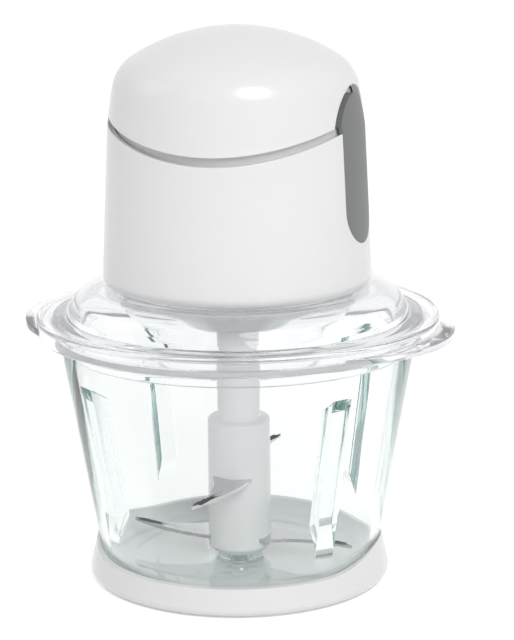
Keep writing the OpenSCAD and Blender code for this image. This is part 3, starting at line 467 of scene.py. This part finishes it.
blade_steel = finish("blade_steel", dark=(0.52, 0.52, 0.53), light=(0.66, 0.66, 0.67), rough=(0.16, 0.34),
                     patch=90, skin=500, Metallic=1.0, Anisotropic=0.5)
blade_half_width, blade_half_thick, ground_width = 8.5, 0.7, 2.4
back, heel, tip = (0, blade_half_width), (hub_r, -blade_half_width), (49, -blade_half_width)
wing = curve(back, (24.5, blade_half_width), tip) + curve(tip, (29.4, -1.7), heel) + [heel]
blade_outline = wing + [(-x, -y) for x, y in wing]
for name, node, height, turn in (("lower_blade_ground", "lower_blade", 16.1, 0),
                                 ("upper_blade_ground", "upper_blade", 42.1, 90)):
    blade = cut_plate(name, blade_outline, height - blade_half_thick, height + blade_half_thick)
    bpy.ops.mesh.inset(thickness=ground_width * mm, depth=0)
    finish_shape(20)
    blade.data.transform(Matrix.Rotation(math.radians(turn), 4, "Z"))
    place_piece(blade, blade_steel, "blade", "blade_steel", node)


# Lid: one clear plastic moulding. A plug drops inside the glass, a flange and skirt cover the
# rim, a stepped ring and convex shoulder carry the motor unit, a funnel in the middle guides it, an
# S-shaped wall round the funnel stiffens it, and two crescent lugs give the fingers a grip.
lid_clear = clear_finish("lid_clear", tint=(0.988, 0.99, 0.995), ior=1.45, rough=(0.02, 0.06),
                         depth_tint=(0.4, 0.41, 0.5), density=6)
unit_foot, plate_under, funnel_low, flange_top = 125, 122.8, 103.4, 113
shoulder_middle_r, shoulder_middle_z = 56.6, 110.79
guard_middle_r, guard_swing, guard_wall, guard_high, guard_low = 42.75, 5.35, 1.6, 123.9, 99


def shoulder_arc(r, angles):
    """Points on the shoulder's bow, by angle from upright."""
    turns = [math.radians(a) for a in angles]
    return [(shoulder_middle_r + r * math.sin(a), shoulder_middle_z + r * math.cos(a), 0) for a in turns]


def guard_r(z):
    """Radius of the S-shaped wall at a height."""
    return guard_middle_r + guard_swing * math.cos(math.pi * (guard_high - z) / (guard_high - guard_low))


shoulder = shoulder_arc(14.21, range(0, 49, 8))
under_shoulder = shoulder_arc(12.0, range(52, 1, -10))
guard_outside = [(guard_r(z), z, 0) for z in (121.5 - 2.5 * k for k in range(9))]
guard_inside = [(r - guard_wall, z, 0) for r, z, _ in reversed(guard_outside)]
funnel_inside = [(11.5, funnel_low, 0.4), (33.1, unit_foot, 0.6)]
funnel_outside = [(34.0, plate_under, 0.5), (14.6, funnel_low, 0.4)]
step_ring = [(68.27, 118.9, 0.5), (69.97, 116.5, 0.8), (71.97, flange_top, 0.8)]
skirt = [(83.5, flange_top, 1.4), (82.6, 105, 0.5), (80.4, 105, 0.4), (81.3, 110.8, 0.5), (76, 110.8, 0.3)]
seal_seat, plug_low, plug_outside, plug_inside = 106, 98, 69.67, 67.47
plug = [(76, seal_seat, 0.2), (plug_outside, seal_seat, 0.2), (plug_outside, plug_low, 0.6),
        (plug_inside, plug_low, 0.6), (plug_inside, 113.4, 0.6)]
guard = [(48.5, plate_under, 0.4), *guard_outside, (37.4, guard_low, 0.5),
         (35.8, guard_low, 0.5), *guard_inside, (46.1, plate_under, 0.4)]
lid = turned("lid_moulding", rounded(
    funnel_inside + shoulder + step_ring + skirt + plug + under_shoulder + guard + funnel_outside, 5), 256)
lug_centre, lug_r, skirt_r, lug_low, lug_high, lug_edge = 31.7, 60, 81.6, 106.2, 109, 0.7
meet_x = (skirt_r ** 2 - lug_r ** 2 + lug_centre ** 2) / (2 * lug_centre)
outer_end = math.acos((meet_x - lug_centre) / lug_r)
inner_end = math.acos(meet_x / skirt_r)
lug_outline = [(lug_centre + lug_r * math.cos(outer_end * k / 24), lug_r * math.sin(outer_end * k / 24))
               for k in range(-23, 24)]
lug_outline += [(skirt_r * math.cos(inner_end * k / 16), skirt_r * math.sin(inner_end * k / 16))
                for k in range(16, -17, -1)]
lug = cut_plate("lug", lug_outline, lug_low, lug_high)
bpy.ops.object.mode_set(mode="OBJECT")
soften = lug.modifiers.new("soften", "BEVEL")
soften.width = lug_edge * mm
soften.segments = 3
soften.limit_method = "ANGLE"
bpy.ops.object.modifier_apply(modifier="soften")
combine(lid, joined(copies_around(lug, (-12, 168)), "lugs"), "UNION")
place_piece(lid, lid_clear, "lid", "clear_plastic", "lid")


# Lid seal: a soft silicone ring in the lid's groove that presses on the glass rim, with a fine
# lip on its lower face.
seal_soft = finish("seal_soft", dark=(0.7, 0.71, 0.72), light=(0.8, 0.81, 0.82), rough=(0.4, 0.55), skin=700,
                   Transmission_Weight=0.35, IOR=1.41)
seal_top, seal_low, seal_lip, seal_inside, seal_outside = 105.9, 103.6, 103.2, 69.85, 75.9
lid_seal = turned("lid_seal_ring", rounded([
    (seal_inside, seal_top, 0.3), (seal_inside, seal_low, 0.3), (71.2, seal_low, 0.2),
    (71.5, seal_lip, 0.15), (73.6, seal_lip, 0.15), (73.9, seal_low, 0.2),
    (seal_outside, seal_low, 0.3), (seal_outside, seal_top, 0.3)], 3))
place_piece(lid_seal, seal_soft, "lid", "soft_seal", "lid_seal")


# Motor housing: the white tapered body, moulded in gloss plastic, with a rounded lower edge and
# an open top whose edge dips at the front and back and rises to the sides. Inside are a ledge for
# the top cover and four bosses that take the cover screws.
body_foot_r, body_top_r, body_top_z = 55.6, 52.4, 191
cap_foot_r, cap_foot_z = 50.2, 206


def body_r(z):
    """Radius of the body, and of the button's foot above it, at a height."""
    if z < body_top_z:
        return body_foot_r - (body_foot_r - body_top_r) * (z - unit_foot) / (body_top_z - unit_foot)
    return body_top_r - (body_top_r - cap_foot_r) * (z - body_top_z) / (cap_foot_z - body_top_z)


def seam_height(x, front_z, side_rise):
    """Height of a seam that dips to front_z at the front and rises along a cylinder to the sides."""
    curve_r = (body_top_r ** 2 + side_rise ** 2) / (2 * side_rise)
    return front_z + curve_r - math.sqrt(curve_r ** 2 - x * x)


body_wall, ledge_r, ledge_low, ledge_high = 3, 46.5, 168.5, 171
seam_front_z, seam_rise, fixed_below, edge_above = 181.3, 11.5, 173, 180
cover_seat_r, cover_top = 48.7, 127.5
outside = [(body_foot_r, unit_foot, 4.5)] + [(body_r(z), z, 0) for z in (132, 142, 152, 162, 172)]
top_edge = [(body_r(seam_front_z), seam_front_z, 0.5), (body_r(seam_front_z) - body_wall, seam_front_z, 0.4)]
ledge = [(body_r(ledge_high) - body_wall, ledge_high, 0.3), (ledge_r, ledge_high, 0.3),
         (ledge_r, ledge_low, 0.3), (body_r(ledge_low) - body_wall, ledge_low, 0.3)]
inside = [(body_r(172) - body_wall, 172, 0)] + ledge
inside += [(body_r(z) - body_wall, z, 0) for z in (162, 152, 142, 132)]
foot_flange = [(52, 128, 0.5), (cover_seat_r, cover_top, 0.4), (cover_seat_r, unit_foot, 0.4)]
motor_housing = turned("motor_housing_moulding", rounded(outside + top_edge + inside + foot_flange, 6), 256)
for point in motor_housing.data.vertices:
    z = point.co.z / mm
    if z > fixed_below:
        share = min((z - fixed_below) / (edge_above - fixed_below), 1)
        z_new = z + share * (seam_height(point.co.x / mm, seam_front_z, seam_rise) - seam_front_z)
        radius = math.hypot(point.co.x, point.co.y) / mm
        reach = 1 + (body_r(z_new) - body_r(z)) / radius
        point.co = Vector((point.co.x * reach, point.co.y * reach, z_new * mm))
screw_circle_r, screw_bearings, screw_hole_r = 43.8, (45, 135, 225, 315), 1.6
boss_low, boss_high, boss_r, web_half, web_reach = 127.55, 139.5, 4.4, 2.2, (2.5, 10)
boss = turned("boss", rounded([
    (screw_hole_r, boss_low, 0.1), (boss_r, boss_low, 0.3), (boss_r, boss_high, 0.3), (0, boss_high, 0),
    (0, boss_high - 1, 0), (screw_hole_r, boss_high - 1, 0)]), 48)
web = cut_plate("web", [(web_reach[0], -web_half), (web_reach[1], -web_half), (web_reach[1], web_half),
                        (web_reach[0], web_half)], 130, 139.4)
finish_shape()
combine(boss, web, "UNION")
boss.data.transform(Matrix.Translation((screw_circle_r * mm, 0, 0)))
combine(motor_housing, joined(copies_around(boss, screw_bearings), "bosses"), "UNION")
place_piece(motor_housing, white_gloss, "motor_unit", "white_plastic", "motor_housing")


# Bottom cover: the white plate that closes the motor unit from below, screwed to bosses in the
# housing, with a cone that drops into the lid's funnel and carries the output bush. The gear case
# is screwed to its upper side, where two slotted posts hold the circuit board.
cover_r, bush_bore_r, nose_low, nose_r = 48.6, 7.1, 107.2, 14.7
bottom_cover = turned("bottom_cover_moulding", rounded([
    (bush_bore_r, cover_top, 0), (bush_bore_r, nose_low, 0.4), (nose_r, nose_low, 0.8),
    (32.5, unit_foot, 0.8), (cover_r, unit_foot, 0.4), (cover_r, cover_top, 0.3)], 4), 192)
post_half, post_near, post_far, post_high = 3.5, 28.96, 35.96, 136.5
posts = []
for x in (-14, 14):
    posts.append(cut_plate("post", [(x - post_half, post_near), (x + post_half, post_near),
                                    (x + post_half, post_far), (x - post_half, post_far)], 127, post_high))
    finish_shape()
combine(bottom_cover, joined(posts, "posts"), "UNION")
slot_half, slot_near, slot_far, slot_low = 19, 31.56, 33.36, 129.5
board_slot = cut_plate("board_slot", [(-slot_half, slot_near), (slot_half, slot_near), (slot_half, slot_far),
                                      (-slot_half, slot_far)], slot_low, 137)
finish_shape()
combine(bottom_cover, board_slot, "DIFFERENCE")
case_hole_r, case_screw_circle_r, third_turns = 1.6, 26.99, (30, 150, 270)
case_hole = turned("case_hole", [(pole, 123), (case_hole_r, 123), (case_hole_r, 128), (pole, 128)], 32)
case_hole.data.transform(Matrix.Translation((case_screw_circle_r * mm, 0, 0)))
combine(bottom_cover, joined(copies_around(case_hole, third_turns), "case_holes"), "DIFFERENCE")
place_piece(bottom_cover, white_gloss, "motor_unit", "white_plastic", "bottom_cover")


# Cover screws: four plated self-tapping screws with domed cross-slot heads, sunk into the bottom
# cover so that it stands flat on the lid.
screw_steel = finish("screw_steel", dark=(0.36, 0.36, 0.37), light=(0.5, 0.5, 0.51), rough=(0.25, 0.4),
                     patch=120, Metallic=1.0)
sink_r, sink_top, head_r, thread_r, screw_end = 3.1, 126.7, 2.95, 1.5, 136.2
sink = turned("sink", [(pole, 124), (sink_r, 124), (sink_r, sink_top), (screw_hole_r, sink_top),
                       (screw_hole_r, 128), (pole, 128)], 48)
sink.data.transform(Matrix.Translation((screw_circle_r * mm, 0, 0)))
combine(bottom_cover, joined(copies_around(sink, screw_bearings), "sinks"), "DIFFERENCE")
cover_screw = turned("cover_screw", rounded([
    (0, 125.1, 0), (2.2, 125.25, 1), (head_r, 126, 0.4), (head_r, sink_top, 0.1), (thread_r, sink_top, 0),
    (thread_r, screw_end, 0.6), (0, screw_end, 0)]), 48)
slot_arm, slot_width, slot_floor = 1.7, 0.35, 126.1
quarter = [(slot_width, -slot_arm), (slot_width, -slot_width), (slot_arm, -slot_width)]
cross = quarter + [(-y, x) for x, y in quarter]
cross += [(-x, -y) for x, y in cross]
cross_slot = cut_plate("cross_slot", cross, 124, slot_floor)
finish_shape()
combine(cover_screw, cross_slot, "DIFFERENCE")
cover_screw.data.transform(Matrix.Translation((screw_circle_r * mm, 0, 0)))
cover_screws = joined(copies_around(cover_screw, screw_bearings), "cover_screw_set")
place_piece(cover_screws, screw_steel, "motor_unit", "screw_steel", "cover_screws")


# Top cover: the pale sleeve inside the housing that guides the button and closes the view in the
# seam under it; the return springs stand on its inner shelf, which the button's guide posts and
# stem pass through.
sleeve_pale = finish("sleeve_pale", dark=(0.82, 0.82, 0.825), light=(0.86, 0.86, 0.865), rough=(0.4, 0.5),
                     skin=900, skin_depth=0.01)
sleeve_out, sleeve_in, sleeve_top = 48.8, 46.4, 208
shelf_in, shelf_low, shelf_high = 34.76, 188, 190
top_cover = turned("top_cover_sleeve", rounded([
    (50.2, ledge_high, 0.3), (50.1, 173, 0.3), (sleeve_out, 173, 0.2), (sleeve_out, body_top_z, 0),
    (46.31, sleeve_top, 0.4), (44.51, sleeve_top, 0.4), (sleeve_in, body_top_z, 0),
    (sleeve_in, shelf_high, 0.2), (shelf_in, shelf_high, 0.3), (shelf_in, shelf_low, 0.3),
    (sleeve_in, shelf_low, 0.2), (sleeve_in, ledge_high, 0.3)], 4), 192)
guide_x = 39.46
guide_holes = []
for x, y, r in ((guide_x, 0, 3.4), (-guide_x, 0, 3.4), (0, 38.26, 3.6)):
    hole = turned("hole", [(pole, 187), (r, 187), (r, 191), (pole, 191)], 48)
    hole.data.transform(Matrix.Translation((x * mm, y * mm, 0)))
    guide_holes.append(hole)
combine(top_cover, joined(guide_holes, "guide_holes"), "DIFFERENCE")
place_piece(top_cover, sleeve_pale, "motor_unit", "pale_plastic", "top_cover")


# Side strips: satin grey inlays let into the body's wall left and right, round at the bottom,
# with a tongue that stands on above the seam into the arch of the button.
strip_grey = finish("strip_grey", dark=(0.18, 0.184, 0.187), light=(0.215, 0.219, 0.222), rough=(0.38, 0.5),
                    skin=1100, skin_depth=0.012)
strip_bearings = (82, 262)
strip_low_z, strip_high_z, strip_w, tongue_z = 145, 205.58, 14.5, 193.1
arch_z, arch_r, arch_h = 184.6, 16.4, 20.99


def strip_half(z):
    """Half the strip's width at a height: round at the foot, straight, then arched."""
    if z < strip_low_z + strip_w:
        return math.sqrt(max(strip_w ** 2 - (strip_low_z + strip_w - z) ** 2, 0))
    return min(strip_w, arch_r * math.sqrt(max(1 - (max(z - arch_z, 0) / arch_h) ** 2, 0)))


def strip_form(name, bearing, gap, proud, depth, tongue_depth):
    """Bent plate with the strip's outline, widened by gap, from proud of the wall to a depth in it."""
    bpy.ops.object.select_all(action="DESELECT")
    bpy.ops.mesh.primitive_grid_add(x_subdivisions=28, y_subdivisions=80, size=2)
    plate = bpy.context.object
    plate.name = name
    for point in plate.data.vertices:
        across, along = point.co.x, point.co.y
        z = strip_low_z + (strip_high_z - strip_low_z) * (0.5 + 0.5 * math.sin(along * math.pi / 2))
        half = strip_half(z) * (1 + gap / strip_w)
        z += gap * along
        r = body_r(z) + proud
        angle = math.radians(bearing) + math.asin(across * half / r)
        point.co = Vector((r * math.sin(angle), -r * math.cos(angle), z)) * mm
    bpy.ops.object.mode_set(mode="EDIT")
    finish_shape()
    thicken = plate.modifiers.new("thicken", "SOLIDIFY")
    thicken.thickness = (proud + depth) * mm
    thicken.offset = -1
    bpy.ops.object.modifier_apply(modifier="thicken")
    for point in plate.data.vertices:
        r, z = math.hypot(point.co.x, point.co.y) / mm, point.co.z / mm
        if z > tongue_z and r < body_r(z) + (proud - depth) / 2:
            reach = (body_r(z) - tongue_depth) / r
            point.co = Vector((point.co.x * reach, point.co.y * reach, point.co.z))
    return plate


pockets = [strip_form("pocket", bearing, gap=0.1, proud=1, depth=1.7, tongue_depth=1.7)
           for bearing in strip_bearings]
combine(motor_housing, joined(pockets, "pockets"), "DIFFERENCE")
for name, node, bearing in (("side_strip_right_inlay", "side_strip_right", strip_bearings[0]),
                            ("side_strip_left_inlay", "side_strip_left", strip_bearings[1])):
    strip = strip_form(name, bearing, gap=0, proud=0.12, depth=1.6, tongue_depth=3.2)
    soften = strip.modifiers.new("soften", "BEVEL")
    soften.width = 0.35 * mm
    soften.segments = 2
    soften.limit_method = "ANGLE"
    soften.angle_limit = math.radians(60)
    bpy.ops.object.modifier_apply(modifier="soften")
    bpy.ops.object.mode_set(mode="EDIT")
    bpy.ops.mesh.select_all(action="SELECT")
    bpy.ops.mesh.dissolve_degenerate(threshold=0.005 * mm)
    finish_shape(40)
    place_piece(strip, strip_grey, "motor_unit", "grey_plastic", node)


# Cord gland: a grey bush with a soft-edged flange, pushed into the rear wall where the mains
# cord would enter.
cord_bore_r, bush_r, flange_r, bush_end, flange_face = 3.6, 6.8, 9.6, -9, 2
cord_gland = turned("cord_gland_bush", rounded([
    (cord_bore_r, bush_end, 0.5), (bush_r, bush_end, 0.5), (bush_r, -0.1, 0), (flange_r, -0.1, 0.2),
    (flange_r, flange_face, 1.2), (6, flange_face, 0.4), (5.6, 1.5, 0.3), (4.6, 1.5, 0.3),
    (4.2, flange_face, 0.3), (cord_bore_r, flange_face, 0.2)], 4), 96)
gland_y, gland_z = 54.95, 150
gland_turn = Matrix.Rotation(math.radians(-90), 4, "X")
gland_place = Matrix.Translation((0, gland_y * mm, gland_z * mm)) @ gland_turn
cord_gland.data.transform(gland_place)
gland_hole_r = bush_r + 0.1
gland_hole = turned("gland_hole", [(pole, bush_end), (gland_hole_r, bush_end), (gland_hole_r, flange_face),
                                   (pole, flange_face)], 96)
gland_hole.data.transform(gland_place)
combine(motor_housing, gland_hole, "DIFFERENCE")
place_piece(cord_gland, strip_grey, "motor_unit", "grey_plastic", "cord_gland")


# Button cap: the whole white dome is the button, a gloss moulding. Its lower edge runs along the
# seam, dips at the front and arches over the two side strips, with a bead behind the arches. Three
# bosses under its crown take the screws of the button plate.
cap_wall, crown_middle_z, crown_r, crown_from_z = 1.8, 151.56, 79.12, 218.65
turn_middle_x, turn_middle_z, turn_r = 32.39, 203.39, 18
cap_front_z, cap_rise, still_above = 184.9, 11, 216
gap_r, gap_h, arch_wall_r = 20, 24.19, 52
bead, bead_fade, bead_top = 1.05, 2, 190


def cap_r(z):
    """Outer radius of the button at a height."""
    if z <= cap_foot_z:
        return body_r(z)
    if z <= crown_from_z:
        return turn_middle_x + math.sqrt(turn_r ** 2 - (z - turn_middle_z) ** 2)
    return math.sqrt(max(crown_r ** 2 - (z - crown_middle_z) ** 2, 0))


def cap_edge(x, y):
    """Height of the button's lower edge on the bearing of a point."""
    angle = math.atan2(x, -y)
    edge = seam_height(body_top_r * math.sin(angle), cap_front_z, cap_rise)
    for bearing in strip_bearings:
        across = arch_wall_r * math.sin(angle - math.radians(bearing))
        if abs(across) < gap_r and math.cos(angle - math.radians(bearing)) > 0:
            edge = max(edge, arch_z + gap_h * math.sqrt(1 - (across / gap_r) ** 2))
    return edge


def arch_bead(x, y):
    """Extra thickness of the button's edge where it arches over a strip, to narrow the gap behind it."""
    angle = math.atan2(x, -y)
    nearest = min(abs(arch_wall_r * math.sin(angle - math.radians(bearing))) for bearing in strip_bearings)
    return bead * min(max((gap_r + bead_fade - nearest) / bead_fade, 0), 1)


def dome(inset):
    """Outline of the dome from its pole to its foot, inset by a wall."""
    crown = [(crown_r - inset, crown_middle_z, 0, 90 - 2 * k) for k in range(16)]
    turn = [(turn_r - inset, turn_middle_z, turn_middle_x, 58 - 4.14 * k) for k in range(13)]
    return [(x + r * math.cos(math.radians(a)), z + r * math.sin(math.radians(a)), 0)
            for r, z, x, a in crown + turn]


sides = [(body_r(z), z, 0) for z in (203, 200, 197, 194, 191, 188.5)]
cap_lip = [(body_r(cap_front_z), cap_front_z, 0.5), (body_r(cap_front_z) - cap_wall, cap_front_z, 0.4)]
sides_inside = [(r - cap_wall, z, 0) for r, z, _ in reversed(sides)]
button_cap = turned("button_cap_moulding", rounded(
    dome(0) + sides + cap_lip + sides_inside + dome(cap_wall)[::-1], 4), 384)
for point in button_cap.data.vertices:
    z = point.co.z / mm
    if z < still_above:
        share = min((still_above - z) / (still_above - cap_front_z), 1)
        z_new = z + share * (cap_edge(point.co.x, point.co.y) - cap_front_z)
        radius = math.hypot(point.co.x, point.co.y) / mm
        thicker = 0
        if radius < cap_r(z) - cap_wall / 2 and z < bead_top:
            low_share = min((bead_top - z) / (bead_top - cap_front_z), 1)
            thicker = arch_bead(point.co.x, point.co.y) * low_share
        reach = 1 + (cap_r(z_new) - cap_r(z) - thicker) / radius
        point.co = Vector((point.co.x * reach, point.co.y * reach, z_new * mm))
boss_low, boss_high, boss_r, boss_circle_r = 215.5, 224.1, 3.5, 27
boss = turned("boss", rounded([
    (screw_hole_r, boss_low, 0.1), (boss_r, boss_low, 0.3), (boss_r, boss_high, 0), (0, boss_high, 0),
    (0, 222.3, 0), (screw_hole_r, 222.3, 0)]), 48)
boss.data.transform(Matrix.Translation((boss_circle_r * mm, 0, 0)))
combine(button_cap, joined(copies_around(boss, third_turns), "bosses"), "UNION")
place_piece(button_cap, white_gloss, "button", "white_plastic", "button_cap")


# Return springs: two coils of spring wire round the button's guide posts, which lift it again. They
# stand on the top cover's shelf and hold up the button plate; here they are one fixed coil at full length.
steel = dict(dark=(0.42, 0.42, 0.43), light=(0.55, 0.55, 0.56), rough=(0.2, 0.38), patch=80, Metallic=1.0)
spring_wire = finish("spring_wire", **steel)
coil_r, wire_r, spring_turns, steps_a_turn = 4.2, 0.5, 6, 24
spring_low_z, spring_high_z = 190.5, 212.49
bpy.ops.object.select_all(action="DESELECT")
bpy.ops.mesh.primitive_circle_add(vertices=12, radius=wire_r * mm)
coil = bpy.context.object
for corner in coil.data.vertices:
    corner.co = Vector((coil_r * mm + corner.co.x, 0, corner.co.y))
wind = coil.modifiers.new("wind", "SCREW")
wind.iterations = spring_turns
wind.screw_offset = (spring_high_z - spring_low_z) / spring_turns * mm
wind.steps = steps_a_turn
wind.render_steps = steps_a_turn
bpy.ops.object.modifier_apply(modifier="wind")
bpy.ops.object.mode_set(mode="EDIT")
bpy.ops.mesh.select_all(action="SELECT")
bpy.ops.mesh.fill_holes(sides=0)
finish_shape(50)
coil.data.transform(Matrix.Translation(Vector((guide_x, 0, spring_low_z)) * mm))
return_springs = joined(copies_around(coil, (0, 180)), "return_spring_coils")
return_springs.data.materials.clear()
return_springs.data.materials.append(spring_wire)
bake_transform(return_springs)
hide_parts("return_springs")


# Drive coupling: a hexagon of hard nylon on the output shaft, chamfered so that it finds its way
# into the blade shaft's socket.
coupling_r, coupling_low, coupling_high, coupling_chamfer = 6, 94.6, 106.8, 0.6
drive_coupling = cut_plate("drive_coupling_hexagon", hexagon(coupling_r), coupling_low, coupling_high)
bpy.ops.mesh.select_all(action="SELECT")
bpy.ops.mesh.bevel(offset=coupling_chamfer * mm, segments=2, affect="EDGES")
finish_shape(25)
place_piece(drive_coupling, sleeve_pale, "drive", "pale_plastic", "drive_coupling")


# Works inside the housing: gear case, motor, board and switch keep their CAD shapes, each with
# the finish of its real material.
def dress(material, *nodes):
    """Gives the CAD solids of those nodes the finish."""
    for node in nodes:
        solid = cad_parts[node]
        solid.data.materials.clear()
        solid.data.materials.append(material)


dress(finish("case_nylon", dark=(0.42, 0.45, 0.5), light=(0.5, 0.53, 0.58), rough=(0.45, 0.6)), "gear_case")
dress(finish("gear_nylon", dark=(0.7, 0.68, 0.6), light=(0.78, 0.76, 0.68), rough=(0.35, 0.5)),
      "planet_gear_1", "planet_gear_2", "planet_gear_3")
dress(finish("inner_white", dark=(0.76, 0.76, 0.77), light=(0.82, 0.82, 0.83), rough=(0.35, 0.5)),
      "button_plate")
dress(finish("black_plastic", dark=(0.02, 0.02, 0.022), light=(0.04, 0.04, 0.043), rough=(0.4, 0.6)),
      "switch_body", "cooling_fan")
dress(finish("carbon", dark=(0.015, 0.015, 0.016), light=(0.03, 0.03, 0.03), rough=(0.55, 0.75), patch=300),
      "carbon_brushes")
dress(finish("red_plastic", dark=(0.42, 0.03, 0.025), light=(0.5, 0.04, 0.03), rough=(0.3, 0.4)),
      "switch_plunger")
dress(finish("board_lacquer", dark=(0.02, 0.13, 0.06), light=(0.04, 0.2, 0.1), rough=(0.25, 0.4), patch=60),
      "circuit_board")
dress(finish("turned_steel", **steel),
      "motor_shaft", "output_shaft", "planet_pins", "planet_carrier", "sun_pinion")
dress(finish("plated_screws", **steel), "gear_case_screws", "motor_screws", "button_screws", "stop_screws")
dress(finish("core_sheet", dark=(0.14, 0.14, 0.155), light=(0.22, 0.22, 0.24), rough=(0.4, 0.6), patch=200,
             Metallic=0.8), "stator_stack", "armature")
dress(finish("cast_alloy", dark=(0.5, 0.5, 0.51), light=(0.6, 0.6, 0.61), rough=(0.45, 0.6), patch=60,
             Metallic=1.0), "lower_bracket", "upper_bracket")
dress(finish("sintered_bronze", dark=(0.42, 0.27, 0.12), light=(0.55, 0.37, 0.18), rough=(0.3, 0.45),
             patch=90, Metallic=1.0), "output_bush", "motor_bushes", "brush_holders")
dress(finish("wound_copper", dark=(0.42, 0.15, 0.06), light=(0.62, 0.26, 0.12), rough=(0.25, 0.4), patch=120,
             Metallic=1.0), "field_coils", "armature_winding", "commutator")
